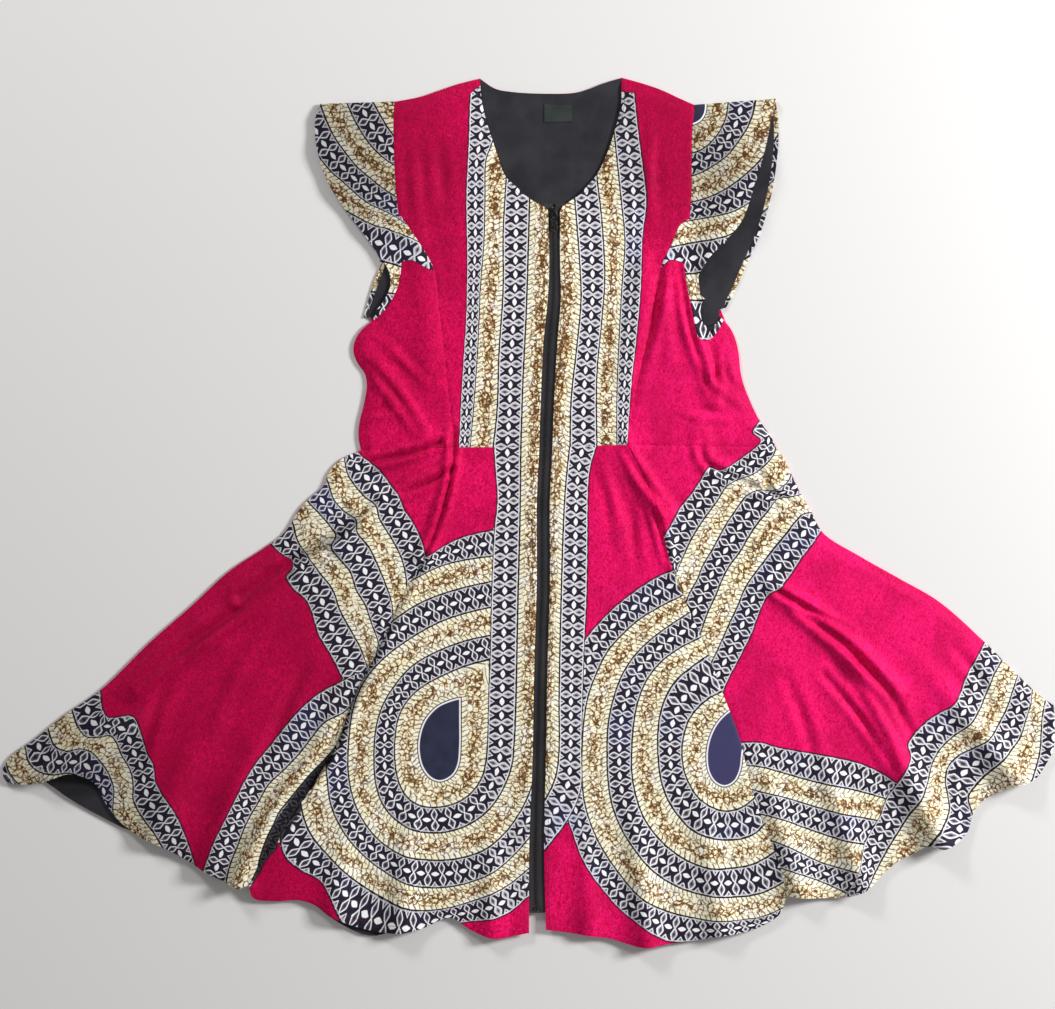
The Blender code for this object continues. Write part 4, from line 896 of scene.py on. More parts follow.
class Nodes:
    """A node tree being wired, with short calls for the usual steps."""

    def __init__(self, tree: bpy.types.NodeTree) -> None:
        self.tree = tree

    def add(self, kind: str, inputs: dict[int | str, object] | None = None, **settings: object) -> bpy.types.Node:
        """A new node with its settings and its inputs."""
        node = self.tree.nodes.new("ShaderNode" + kind)
        for key, value in settings.items():
            setattr(node, key, value)
        self.fill(node, inputs or {})
        return node

    def fill(self, node: bpy.types.Node, inputs: dict[int | str, object]) -> None:
        """Links or sets the inputs of a node."""
        for key, value in inputs.items():
            socket = node.inputs[key]
            if isinstance(value, Level):
                self.tree.links.new(value.socket, socket)
            elif isinstance(value, tuple) and len(value) == 3 and socket.type == "RGBA":
                socket.default_value = (*value, 1.0)
            else:
                socket.default_value = value

    def out(self, node: bpy.types.Node, key: int | str = 0) -> Level:
        """One output of a node."""
        return Level(self, node.outputs[key])

    def math(self, operation: str, *values: object) -> Level:
        """One step of arithmetic."""
        return self.out(self.add("Math", dict(enumerate(values)), operation=operation))

    def fract(self, value: Level) -> Level:
        """What is left of a value above its whole number."""
        return self.math("FRACT", value)

    def most(self, a: object, b: object) -> Level:
        """The greater of two values."""
        return self.math("MAXIMUM", a, b)

    def soft(self, value: Level, low: float, high: float, to_low: float = 0.0, to_high: float = 1.0) -> Level:
        """A smooth step of a value between two levels."""
        return self.out(self.add("MapRange", {"Value": value, "From Min": low, "From Max": high, "To Min": to_low,
                                              "To Max": to_high}, interpolation_type="SMOOTHSTEP"), "Result")

    def line(self, value: Level, half: float, blur: float) -> Level:
        """1 where the value lies within `half` of nought."""
        return self.soft(abs(value), half - blur, half + blur, 1.0, 0.0)

    def mix(self, factor: object, a: object, b: object, blend: str = "MIX") -> Level:
        """Two colours mixed."""
        return self.out(self.add("Mix", {0: factor, 6: a, 7: b}, data_type="RGBA", blend_type=blend), 2)

    def pick(self, factor: object, a: object, b: object) -> Level:
        """Two values mixed."""
        return self.out(self.add("Mix", {0: factor, 2: a, 3: b}, data_type="FLOAT"))

    def noise(self, vector: Level, scale: float, detail: float = 2.0, rough: float = 0.5, bend: float = 0.0) -> Level:
        """A cloudy value between 0 and 1."""
        return self.out(self.add("TexNoise", {"Vector": vector, "Scale": scale, "Detail": detail, "Roughness": rough,
                                              "Distortion": bend}))

    def parts(self, vector: Level) -> tuple[Level, Level]:
        """The x and y of a vector."""
        node = self.add("SeparateXYZ", {0: vector})
        return self.out(node, 0), self.out(node, 1)

    def value(self, name: str) -> Level:
        """A value stored on the piece."""
        return self.out(self.add("Attribute", attribute_name=name), "Fac")

    def group(self, name: str, **values: object) -> bpy.types.Node:
        """A shared effect placed here, its inputs named with _ for a space."""
        return self.add("Group", {key.replace("_", " "): item for key, item in values.items()},
                        node_tree=EFFECTS.trees[name])

    def bump(self, shader: bpy.types.Node, height: Level, strength: float, distance: float) -> None:
        """Fine relief on a shader, its distance in metres."""
        made = self.add("Bump", {"Strength": strength, "Distance": distance, "Height": height})
        self.fill(shader, {"Normal": self.out(made)})

    def give(self, **values: Level) -> bpy.types.NodeTree:
        """Ends a shared effect with its named outputs."""
        for key, value in values.items():
            kind = "NodeSocketColor" if value.socket.type == "RGBA" else "NodeSocketFloat"
            self.tree.interface.new_socket(name=key, in_out="OUTPUT", socket_type=kind)
        self.fill(self.tree.nodes.new("NodeGroupOutput"), values)
        return self.tree


def effect(name: str, **inputs: Colour | float | None) -> tuple[Nodes, dict[str, Level]]:
    """An empty shared effect.

    Args:
        name: what it is called.
        inputs: usual values by socket name, with _ for a space; None stands for a vector.

    Returns:
        Its helper, and its inputs by name.
    """
    tree = bpy.data.node_groups.new(name, "ShaderNodeTree")
    for key, usual in inputs.items():
        kind = {tuple: "NodeSocketColor", float: "NodeSocketFloat"}.get(type(usual), "NodeSocketVector")
        socket = tree.interface.new_socket(name=key.replace("_", " "), in_out="INPUT", socket_type=kind)
        if usual is not None:
            socket.default_value = (*usual, 1.0) if isinstance(usual, tuple) else usual
    start = tree.nodes.new("NodeGroupInput")
    nodes = Nodes(tree)
    return nodes, {socket.name: Level(nodes, socket) for socket in start.outputs if socket.name}


@dataclass
class Effects:
    """The effects that several cloths share.

    Attributes:
        navy: dye of the chain bands.
        chalk: white left in the chain bands.
        repeat: length of one chain link, mm.
        wide: width of a band as its motif is drawn, mm.
        trees: the effects by short name.
    """

    navy: Colour = (0.017, 0.013, 0.026)
    chalk: Colour = (0.88, 0.86, 0.91)
    repeat: float = 16.6
    wide: float = 30.0
    trees: dict[str, bpy.types.NodeTree] = field(default_factory=dict)

    def build(self) -> None:
        """Makes every shared effect once."""
        self.trees = {make.__name__: make() for make in (self.weave, self.crimson, self.chain, self.crackle)}

    def weave(self) -> bpy.types.NodeTree:
        """Plain weave of fine threads: a height, and where threads sink."""
        n, i = effect("Plain Weave", Vector=None, Threads_per_mm=1.6)
        place = i["Vector"]
        rate = i["Threads per mm"] * (1000.0 * math.tau)
        wobble = n.noise(place, 90.0, 1.0) * 3.0
        warp, weft = (n.math("SINE", side * rate + wobble) for side in n.parts(place))
        drawn = n.out(n.add("Mapping", {0: place, "Scale": (1.0, 0.08, 1.0)}))
        return n.give(Height=warp * weft * 0.5 + 0.5, Slub=n.noise(drawn, 900.0, 2.0))

    def crimson(self) -> bpy.types.NodeTree:
        """Crimson dye with its wandering veins and cloudy patches, darkened by painted shade from its shade input."""
        n, i = effect("Crimson Dye And Shade", Vector=None, Depth=0.0, Dye=(0.70, 0.0010, 0.084), Bright=(0.93, 0.012, 0.20),
                      Deep=(0.26, 0.0, 0.028))
        place, deep = i["Vector"], i["Deep"]
        drawn = n.out(n.add("VectorMath", {0: place, 1: (1.45, 0.80, 1.0)}, operation="MULTIPLY"))
        veins = n.noise(drawn, 250.0, 2.0, 0.5, 1.6)
        fine = n.noise(drawn, 520.0, 2.0, 0.6, 0.8)
        cloud = n.noise(place, 17.0, 2.0, 0.5)
        # painted shade also tips the veins towards the deep crimson
        level = veins * 0.65 + fine * 0.35 - i["Depth"] * 0.08
        base = n.mix(n.soft(level, 0.50, 0.63, 0.0, 0.75), i["Dye"], i["Bright"])
        base = n.mix(n.soft(level, 0.50, 0.36, 0.0, 0.75), base, deep)
        base = n.mix(n.soft(cloud, 0.60, 0.36, 0.0, 0.30), base, deep)
        # painted shade: the deep crimson laid over where the shade input is high
        return n.give(Color=n.mix(n.soft(i["Depth"], -0.1, 0.9, 0.0, 0.55), base, deep))

    def chain(self) -> bpy.types.NodeTree:
        """Navy band: pointed seeds between ribbons of paired eyes; where the weight input falls below nought, painted
        shade darkens it.
        """
        n, i = effect("Chain Band", Across=0.5, Along=0.0, Vector=None, Heavy=0.0, Navy=self.navy, Chalk=self.chalk)
        place = i["Vector"]
        heavy = n.most(i["Heavy"], 0.0)
        # painted shade where the weight input is below nought
        painted_valley_shade = n.soft(i["Heavy"], 0.0, -1.0)
        blur = n.noise(place, 260.0, 1.0)
        a = (i["Across"] - 0.5) * self.wide + (blur - 0.5) * 0.9
        turn = i["Along"] / self.repeat
        aa = abs(a)
        seed_y = abs((n.fract(turn) - 0.5) * self.repeat)
        lean = n.soft(a, -2.0, 2.0, -0.45, 0.45)
        ribbon_y = abs((n.fract(turn + 0.5) - 0.5) * self.repeat + lean)
        # the seed: a pointed oval along the band
        seed = n.soft((1.0 - (seed_y / 4.9) ** 1.8) * 2.6 - aa, -0.3, 0.4)
        # the ribbon: two threads that cross in the middle and swing round a dark eye each
        from_eye = aa - 6.5
        ribbon = (1.0 - abs(from_eye / 6.5) ** 1.35) * (heavy * 0.25 + 3.35) - ribbon_y
        outline = n.soft(1.0 - (abs(ribbon) - (heavy * 0.38 + 0.54)) / 0.4, 0.0, 1.0)
        outline = outline * n.soft(aa, 13.6, 13.0) * (heavy * -0.16 + 0.96)
        pupil = n.soft(abs(from_eye / 3.6) + abs(ribbon_y / 1.5), 1.15, 0.65)
        grey = n.soft(ribbon, 0.2, 0.8) * (heavy * 0.33 + 0.12) * (pupil * -0.95 + 1.0)
        # triangles on both edges beside a seed, each with a dark dot
        side = (aa - 7.7) * 0.72 - seed_y
        inner = n.soft(side, 0.8, 1.4) * (heavy * -0.26 + 0.38)
        dx = (aa - 11.4) / 1.5
        dot = n.soft(dx * dx + seed_y * seed_y, 1.3, 0.5)
        triangle = n.soft(side, -0.25, 0.35) * (1.0 - n.most(inner, dot * 0.85))
        rim = n.line(aa - 13.3, 0.45, 0.4) * (heavy * 0.4 + 0.6)
        chalk = n.most(n.most(seed, triangle * 0.92), n.most(n.most(outline, grey), rim))
        # the white fades under the painted shade
        chalk = chalk * n.soft(n.noise(place, 520.0, 2.0), 0.2, 0.6, 0.82, 1.0) * (painted_valley_shade * -0.93 + 1.0)
        tint = n.soft(n.noise(place, 10.0, 2.0), 0.54, 0.72, 0.0, 0.45)
        ink = n.mix(tint, i["Navy"], (0.030, 0.028, 0.10))
        ink = n.mix(n.soft(blur, 0.35, 0.75, 0.0, 0.35), ink, (0.040, 0.034, 0.058))
        pale = n.mix(seed, n.mix(tint, i["Chalk"], (0.62, 0.68, 0.92)), (0.96, 0.95, 0.97))
        # the navy ink turns near black under the painted shade
        made = n.mix(chalk, n.mix(painted_valley_shade, ink, (0.012, 0.010, 0.015)), pale)
        return n.give(Color=n.mix(n.soft(aa, 13.95, 14.35), made, (0.010, 0.008, 0.012)))

    def crackle(self) -> bpy.types.NodeTree:
        """Cream band: slanting strokes at its edges, brown cracks and clots towards the middle."""
        n, i = effect("Crackle Band", Across=0.5, Along=0.0, Vector=None, Cream=(0.97, 0.915, 0.68),
                      Yellow=(0.93, 0.79, 0.43), Copper=(0.50, 0.29, 0.11), Brown=(0.12, 0.048, 0.018))
        place = i["Vector"]
        a = (i["Across"] - 0.5) * self.wide
        aa = abs(a)
        wobble = n.out(n.add("TexNoise", {"Vector": place, "Scale": 190.0}), "Color")
        shift = n.out(n.add("Mix", {0: 0.006, 4: place, 5: wobble}, data_type="VECTOR"), 1)
        cell, edge = (n.add("TexVoronoi", {"Vector": shift, "Scale": 165.0}, feature=feature)
                      for feature in ("F1", "DISTANCE_TO_EDGE"))
        gaps = n.out(edge, "Distance")
        tone = n.fract(n.out(cell, "Color") * 7.31)
        cloud = n.noise(place, 40.0, 2.0, 0.6)
        grit = n.noise(place, 210.0, 2.0, 0.65)
        base = n.mix(n.soft(tone, 0.35, 0.95, 0.0, 0.6), i["Cream"], i["Yellow"])
        base = n.mix(n.soft(cloud, 0.48, 0.68, 0.0, 0.7), base, (0.97, 0.95, 0.87))
        # tan and brown clots gather in the gaps of the mosaic, most of all down the middle
        middle = n.soft(abs(a - 1.0), 11.0, 2.0)
        level = middle * 0.12 + (grit * 0.6 + n.noise(place, 430.0, 2.0, 0.6) * 0.4 - 0.038)
        level = n.soft(gaps, 0.20, 0.02) * 0.085 + level
        level = (cloud - 0.5) * -0.20 + level + n.soft(n.parts(place)[1], -0.02, 0.12, -0.024, 0.006)
        base = n.mix(n.soft(level, 0.562, 0.62, 0.0, 0.95), base, i["Copper"])
        base = n.mix(n.soft(level, 0.64, 0.70, 0.0, 0.95), base, i["Brown"])
        crack = n.soft(gaps, 0.165, 0.06) * n.soft(tone, 0.15, 0.7, 0.35, 0.95)
        base = n.mix(crack * n.soft(aa, 12.5, 7.0, 0.15, 1.0), base, (0.11, 0.045, 0.018))
        # bowed dashes comb in from both edges, with a pale line beside each
        rim = n.most(14.5 - aa, 0.0)
        beat = (i["Along"] + rim ** 1.6 * n.pick(a < 0.0, -0.13, 0.17)) / 5.9 + cloud * 1.2
        stroke = n.line(n.fract(beat) - 0.5, 0.10, 0.065) * n.soft(rim - (grit * 11.0 + 0.4), 0.8, -1.2)
        lit = n.line(n.fract(beat) - 0.92, 0.20, 0.14)
        base = n.mix(lit * n.soft(rim, 6.0, 3.0, 0.0, 0.75), base, (0.97, 0.93, 0.80))
        base = n.mix(stroke * 0.9, base, (0.040, 0.018, 0.012))
        return n.give(Color=n.mix(n.soft(aa, 13.9, 14.4), base, (0.014, 0.009, 0.010)))


EFFECTS = Effects()


# ----------------------------------------------------------------------- finishes
def blank(name: str) -> tuple[bpy.types.Material, Nodes, bpy.types.Node]:
    """A new material, its helper and its shader."""
    mat = bpy.data.materials.new(name)
    mat.use_nodes = True
    return mat, Nodes(mat.node_tree), mat.node_tree.nodes["Principled BSDF"]


def own_place(nodes: Nodes) -> Level:
    """Place on the piece in metres."""
    return nodes.out(nodes.add("TexCoord"), "Object")


@dataclass(frozen=True)
class Woven:
    """Cloth with a plain weave; each kind says how it is coloured.

    Attributes:
        name: material name.
        rough: roughness of the cloth.
        spread: how much rougher it is where threads sink.
        sheen: strength of its nap.
        gloss: strength of its highlights.
        relief: strength of the weave's relief.
        threads: threads to the millimetre.
    """

    name: str
    rough: float = 0.62
    spread: float = 0.12
    sheen: float = 0.0
    gloss: float = 0.12
    relief: float = 0.35
    threads: float = 1.6

    def colour(self, n: Nodes, place: Level, slub: Level) -> Level:
        """Colour of the cloth at a place on the piece."""
        raise NotImplementedError

    def make(self) -> bpy.types.Material:
        """Builds the material."""
        mat, n, shader = blank(self.name)
        place = own_place(n)
        weave = n.group("weave", Vector=place, Threads_per_mm=self.threads)
        height, slub = n.out(weave, "Height"), n.out(weave, "Slub")
        n.fill(shader, {"Base Color": self.colour(n, place, slub),
                        "Roughness": n.soft(slub, 0.2, 0.8, self.rough - 0.08, self.rough + self.spread),
                        "Sheen Weight": self.sheen, "Specular IOR Level": self.gloss})
        n.bump(shader, height + slub, self.relief, 0.00012)
        return mat


@dataclass(frozen=True)
class CrimsonCloth(Woven):
    """Crimson cotton without bands."""

    name: str = "crimson_cotton"

    def colour(self, n: Nodes, place: Level, slub: Level) -> Level:
        """Veined crimson all over."""
        return n.out(n.group("crimson", Vector=place))


@dataclass(frozen=True)
class WaxPrint(Woven):
    """Printed cotton: crimson ground, navy chain bands and gold crackle bands."""

    name: str = "wax_print"
    gloss: float = 0.08

    def colour(self, n: Nodes, place: Level, slub: Level) -> Level:
        """The print, laid out by the values stored on the piece."""
        second = n.value("pick") > 0.0
        band, link, grain = (n.pick(second, n.value(name + "_a"), n.value(name + "_b"))
                             for name in ("band", "chain", "grain"))
        # the stored shade is mostly painted shade, with a little tone
        printed, depth = n.value("printed"), n.value("shade_and_tone")
        across = n.fract(band)
        odd = n.math("FLOORED_MODULO", n.math("FLOOR", band), 2.0)
        # the thread weight carries painted shade where it is below nought
        chain = n.out(n.group("chain", Across=across, Along=link, Vector=place, Heavy=n.value("thread_weight_and_shade")))
        gold = n.out(n.group("crackle", Across=across, Along=grain, Vector=place))
        colour = n.mix(odd > 0.5, gold, chain)
        # painted shade: bands darkened where the stored shade is deep
        colour = n.mix(n.soft(depth, 0.40, 1.0), colour, (0.52, 0.52, 0.52), "MULTIPLY")
        # the drop inside the rings
        heart = n.mix(n.noise(place, 60.0, 2.0), (0.018, 0.020, 0.036), (0.040, 0.042, 0.085))
        # painted light: the drop paler and bluer where the painted shade is lightest
        heart = n.mix(n.soft(depth, 0.1, -0.3, 0.0, 0.75), heart, (0.062, 0.055, 0.15))
        heart = n.mix(n.line(band + 0.05, 0.035, 0.015), heart, EFFECTS.chalk)
        colour = n.mix(band < 0.0, colour, heart)
        # painted shade carried into the crimson
        red = n.out(n.group("crimson", Vector=place, Depth=depth))
        colour = n.mix(n.soft(printed, 0.25, -0.15), colour, red)
        return n.mix(n.line(printed + 0.5, 0.45, 0.2) * 0.8, colour, (0.03, 0.004, 0.02))


@dataclass(frozen=True)
class PlainCloth(Woven):
    """Dyed cloth of one colour, lightly clouded.

    Attributes:
        dye: its colour.
        second: paler dye where threads catch the light.
    """

    spread: float = 0.1
    gloss: float = 0.15
    relief: float = 0.4
    dye: Colour = (0.02, 0.02, 0.02)
    second: Colour = (0.04, 0.04, 0.04)

    def colour(self, n: Nodes, place: Level, slub: Level) -> Level:
        """The dye, paler in clouds and along threads."""
        base = n.mix(n.soft(n.noise(place, 22.0, 3.0, 0.55), 0.3, 0.7), self.dye, self.second)
        return n.mix(slub * 0.35, base, self.second)


@dataclass(frozen=True)
class Hardware:
    """Moulded or plated zip parts with rubbed edges.

    Attributes:
        name: material name.
        colour: paint or plastic.
        rubbed: colour where it has worn.
        metal: 1 for plated metal.
        rough: roughness.
    """

    name: str
    colour: Colour
    rubbed: Colour
    metal: float = 0.0
    rough: float = 0.4

    def make(self) -> bpy.types.Material:
        """Builds the material."""
        mat, n, shader = blank(self.name)
        wear = n.noise(own_place(n), 420.0, 3.0, 0.6)
        n.fill(shader, {"Base Color": n.mix(n.soft(wear, 0.52, 0.72), self.colour, self.rubbed),
                        "Roughness": n.soft(wear, 0.3, 0.7, self.rough - 0.08, self.rough + 0.15),
                        "Metallic": self.metal})
        n.bump(shader, wear, 0.2, 0.00005)
        return mat


def plain(name: str, dye: Colour, second: Colour, rough: float, threads: float, sheen: float = 0.0) -> PlainCloth:
    """A plain cloth from what makes it different from others."""
    return PlainCloth(name, rough, threads=threads, sheen=sheen, dye=dye, second=second)


class Cloth(Enum):
    """The finishes that a piece can be made in."""

    PRINT = WaxPrint()
    CRIMSON = CrimsonCloth()
    LINING = plain("charcoal_lining", (0.016, 0.0155, 0.0195), (0.033, 0.032, 0.038), 0.8, 2.4, 0.04)
    TAPE = plain("zip_tape", (0.024, 0.022, 0.025), (0.046, 0.043, 0.048), 0.85, 2.2, 0.02)
    LABEL = plain("label_ribbon", (0.016, 0.022, 0.020), (0.040, 0.052, 0.047), 0.6, 2.6)
    THREAD = plain("sewing_thread", (0.10, 0.004, 0.022), (0.17, 0.010, 0.035), 0.6, 3.0)
    DARK_THREAD = plain("dark_thread", (0.03, 0.028, 0.034), (0.07, 0.065, 0.08), 0.6, 3.0)
    COIL = Hardware("zip_coil", (0.018, 0.018, 0.020), (0.045, 0.045, 0.050))
    METAL = Hardware("zip_metal", (0.05, 0.048, 0.05), (0.26, 0.24, 0.22), 1.0, 0.35)

    def material(self) -> bpy.types.Material:
        """The one material of this finish."""
        if self not in FINISHED:
            FINISHED[self] = self.value.make()
        return FINISHED[self]


FINISHED: dict[Cloth, bpy.types.Material] = {}


# ------------------------------------------------------------------------- meshes
def piece(name: str, bm: bmesh.types.BMesh, cloth: Cloth, sharp: float = 50.0) -> bpy.types.Object:
    """An object at the origin from a finished mesh.

    Args:
        name: its name.
        bm: the mesh, in metres.
        cloth: its finish.
        sharp: edges bent more than this many degrees stay crisp.

    Returns:
        The object.
    """
    mesh = bpy.data.meshes.new(name)
    bm.normal_update()
    bm.to_mesh(mesh)
    bm.free()
    mesh.shade_smooth()
    mesh.set_sharp_from_angle(angle=math.radians(sharp))
    obj = bpy.data.objects.new(name, mesh)
    bpy.context.scene.collection.objects.link(obj)
    mesh.materials.append(cloth.material())
    return obj


def plan_of(mesh: bpy.types.Mesh) -> np.ndarray:
    """Plan points of a mesh in millimetres."""
    co = np.empty(len(mesh.vertices) * 3)
    mesh.vertices.foreach_get("co", co)
    return co.reshape(-1, 3)[:, :2] / MM


def walled(bm: bmesh.types.BMesh, wall: float) -> None:
    """Gives a single sheet its wall, half above and half below it."""
    bm.normal_update()
    for v in bm.verts:
        v.co += v.normal * (wall / 2 * MM)
    bmesh.ops.solidify(bm, geom=bm.faces[:], thickness=wall * MM)
    bmesh.ops.recalc_face_normals(bm, faces=bm.faces[:])


def laid_out(bm: bmesh.types.BMesh, rows: int, cols: int) -> Iterator[tuple[bmesh.types.BMVert, int, int]]:
    """The points of a new grid with their row, from the top, and their column."""
    for v in bmesh.ops.create_grid(bm, x_segments=cols - 1, y_segments=rows - 1, size=0.5)["verts"]:
        yield v, int(round((0.5 - v.co.y) * (rows - 1))), int(round((v.co.x + 0.5) * (cols - 1)))


def cube_corners(bm: bmesh.types.BMesh) -> list[bmesh.types.BMVert]:
    """The corners of a new cube, half a unit from nought on each side."""
    return bmesh.ops.create_cube(bm, size=1.0)["verts"]


def soften(bm: bmesh.types.BMesh, edges: Sequence[bmesh.types.BMEdge], width: float, steps: int = 2) -> None:
    """Rounds edges off by a width in mm."""
    bmesh.ops.bevel(bm, geom=edges, offset=width * MM, segments=steps, profile=0.5, affect="EDGES", material=-1,
                    clamp_overlap=True)


@dataclass
class Patch:
    """A four-sided piece of a pattern between its edge runs.

    Attributes:
        left, right: runs from top to bottom, with equal counts.
        top, bottom: runs from left to right, with equal counts.
        power: how quickly the top's and the bottom's shapes fade inwards.
    """

    left: np.ndarray
    right: np.ndarray
    top: np.ndarray
    bottom: np.ndarray
    power: float = 2.0

    @classmethod
    def between(cls, left: np.ndarray, right: np.ndarray, steps: int, top: np.ndarray | None = None,
                bottom: np.ndarray | None = None, power: float = 2.0) -> "Patch":
        """A patch whose top and bottom are straight unless they are given."""
        top = np.linspace(left[0], right[0], steps + 1) if top is None else top
        bottom = np.linspace(left[-1], right[-1], steps + 1) if bottom is None else bottom
        return cls(left, right, top, bottom, power)

    def plan(self) -> np.ndarray:
        """Grid of plan points, rows from the top."""
        u = np.linspace(0, 1, len(self.top))[None, :, None]
        v = np.linspace(0, 1, len(self.left))[:, None, None]
        dt = self.top - (self.left[0] * (1 - u[0]) + self.right[0] * u[0])
        db = self.bottom - (self.left[-1] * (1 - u[0]) + self.right[-1] * u[0])
        across = self.left[:, None] * (1 - u) + self.right[:, None] * u
        return across + (1 - v) ** self.power * dt[None] + v ** self.power * db[None]


def grid_sheet(plans: list[np.ndarray], height: Height, wall: float, roll: float = 0.7,
               gap: float = 0.15) -> bmesh.types.BMesh:
    """A walled sheet from one or more plan grids.

    Args:
        plans: grids of plan points, mm, joined where they meet.
        height: middle of the cloth over rows of plan points.
        wall: thickness of the cloth, mm.
        roll: how far the cloth dips at its cut edge, mm.
        gap: how far its edge is drawn in, mm.

    Returns:
        The mesh in metres.
    """
    bm = bmesh.new()
    for plan in plans:
        for v, row, col in laid_out(bm, *plan.shape[:2]):
            v.co = (*plan[row, col] * MM, 0.0)
    bmesh.ops.remove_doubles(bm, verts=bm.verts[:], dist=2e-5)
    bmesh.ops.dissolve_degenerate(bm, dist=1e-6, edges=bm.edges[:])
    bm.normal_update()
    if sum(f.normal.z for f in bm.faces) < 0:
        bmesh.ops.reverse_faces(bm, faces=bm.faces[:])
    rim = [v for v in bm.verts if v.is_boundary]
    inner: dict[bmesh.types.BMVert, Vector] = {}
    for v in rim:
        close = [e.other_vert(v) for e in v.link_edges if not e.is_boundary]
        if close:
            inner[v] = sum((w.co for w in close), Vector()) / len(close)
    for v, target in inner.items():
        step = target - v.co
        if step.length > 1e-6:
            v.co += step.normalized() * min(gap * MM, step.length * 0.3)
    for v, level in zip(bm.verts, height(np.array([(v.co.x / MM, v.co.y / MM) for v in bm.verts]))):
        v.co.z = level * MM
    for v in rim:
        v.co.z -= roll * MM
    walled(bm, wall)
    return bm


@dataclass
class Cut:
    """What a sheet was cut to, in metres.

    Attributes:
        width, length: the cut's sides.
        area: its flat area, m2.
    """

    width: float
    length: float
    area: float


def settle(obj: bpy.types.Object, node: str, slot: str, cut: Cut | None, rests: Sequence[str] = (),
           body: str = "dress") -> None:
    """Attaches a piece to its body, hides the solid it stands for and logs its points and area."""
    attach(obj, body)
    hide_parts(node)
    area = sum(p.area for p in obj.data.polygons) / 2
    log.info("%s: %d points, one face %.4f m2", obj.name, len(obj.data.vertices), area)


def printed_piece(name: str, bm: bmesh.types.BMesh, show: Show, slot: str, cut: Cut, rest: str) -> None:
    """A printed sheet over the sheet it rests on."""
    obj = piece(name + "_cloth", bm, Cloth.PRINT)
    show(plan_of(obj.data)).store(obj.data)
    settle(obj, name, slot, cut, [rest])


# --------------------------------------------------------------- sub-assemblies
@dataclass
class FrontBodice:
    """Centre and side panels of the front bodice.

    Attributes:
        fine: how many times finer than the pattern's own stations.
        wall: cloth, mm.
        plan: where the print lies.
    """

    fine: int = 7
    wall: float = 1.2
    plan: PrintPlan = field(default_factory=PrintPlan)

    def build(self) -> None:
        """Makes the four panels."""
        f, plan = self.fine, self.plan
        left = Patch.between(joined((ARM_UPPER_L, 6 * f), (PRINCESS_L, 14 * f)),
                             joined((NECK_L, 8 * f), (ZIP_BODICE_L, 12 * f)), 40, stations(SHOULDER_L, 40)[::-1])
        right = Patch.between(joined((NECK_R, 8 * f), (ZIP_BODICE_R, 12 * f)),
                              joined((ARM_UPPER_R, 6 * f), (PRINCESS_R, 14 * f)), 36, stations(SHOULDER_R, 36))
        side = Patch.between(joined((ARM_LOWER_L, 6 * f), (SIDE_BODICE_L, 8 * f)), stations(PRINCESS_L, 14 * f), 36)
        # the right side panel widens below the armhole's foot
        knee = 7 * f
        seam = stations(PRINCESS_R, 2 * knee)
        upper = Patch.between(seam[:knee + 1], stations(ARM_LOWER_R, knee), 24)
        lower = Patch.between(seam[knee:], stations(SIDE_BODICE_R, knee), 40,
                              np.vstack([upper.bottom, stations(ARM_FOOT_R, 16)[1:]]), power=1.0)
        for name, patches, show, slot, cut in (
            ("centre_left", [left], plan.bodice_centre_left, "wax_print", Cut(0.19, 0.46, 0.060)),
            ("centre_right", [right], plan.bodice_centre_right, "wax_print", Cut(0.18, 0.46, 0.055)),
            ("side_left", [side], plan.bodice_side_left, "crimson_cotton", Cut(0.13, 0.30, 0.022)),
            ("side_right", [upper, lower], plan.bodice_side_right, "crimson_cotton", Cut(0.19, 0.30, 0.028)),
        ):
            bm = grid_sheet([p.plan() for p in patches], FORM.front, self.wall)
            printed_piece("front_bodice_" + name, bm, show, slot, cut, "back_bodice_lining")


@dataclass
class FrontSkirt:
    """Centre and side gores of the front skirt.

    Attributes:
        rows: steps down a gore.
        wall: cloth, mm.
        plan: where the print lies.
    """

    rows: int = 168
    wall: float = 1.2
    plan: PrintPlan = field(default_factory=PrintPlan)

    def build(self) -> None:
        """Makes the four gores."""
        plan, print_slot, red_slot = self.plan, "wax_print", "crimson_cotton"
        for name, left, right, hem, wide, show, slot, cut in (
            ("centre_left", GORE_L, ZIP_SKIRT_L, HEM_CENTRE_L, 90, plan.skirt_centre_left, print_slot,
             Cut(0.37, 0.60, 0.124)),
            ("centre_right", ZIP_SKIRT_R, GORE_R, HEM_CENTRE_R, 90, plan.skirt_centre_right, print_slot,
             Cut(0.32, 0.62, 0.124)),
            ("side_left", SIDE_SKIRT_L, GORE_L, HEM_SIDE_L, 110, plan.skirt_side_left, red_slot,
             Cut(0.46, 0.62, 0.128)),
            ("side_right", GORE_R, SIDE_SKIRT_R, HEM_SIDE_R, 118, plan.skirt_side_right, red_slot,
             Cut(0.52, 0.62, 0.154)),
        ):
            patch = Patch.between(stations(left, self.rows), stations(right, self.rows), wide,
                                  bottom=stations(hem, wide), power=3.0)
            bm = grid_sheet([patch.plan()], FORM.front, self.wall)
            printed_piece("front_skirt_" + name, bm, show, slot, cut, "back_skirt_lining")


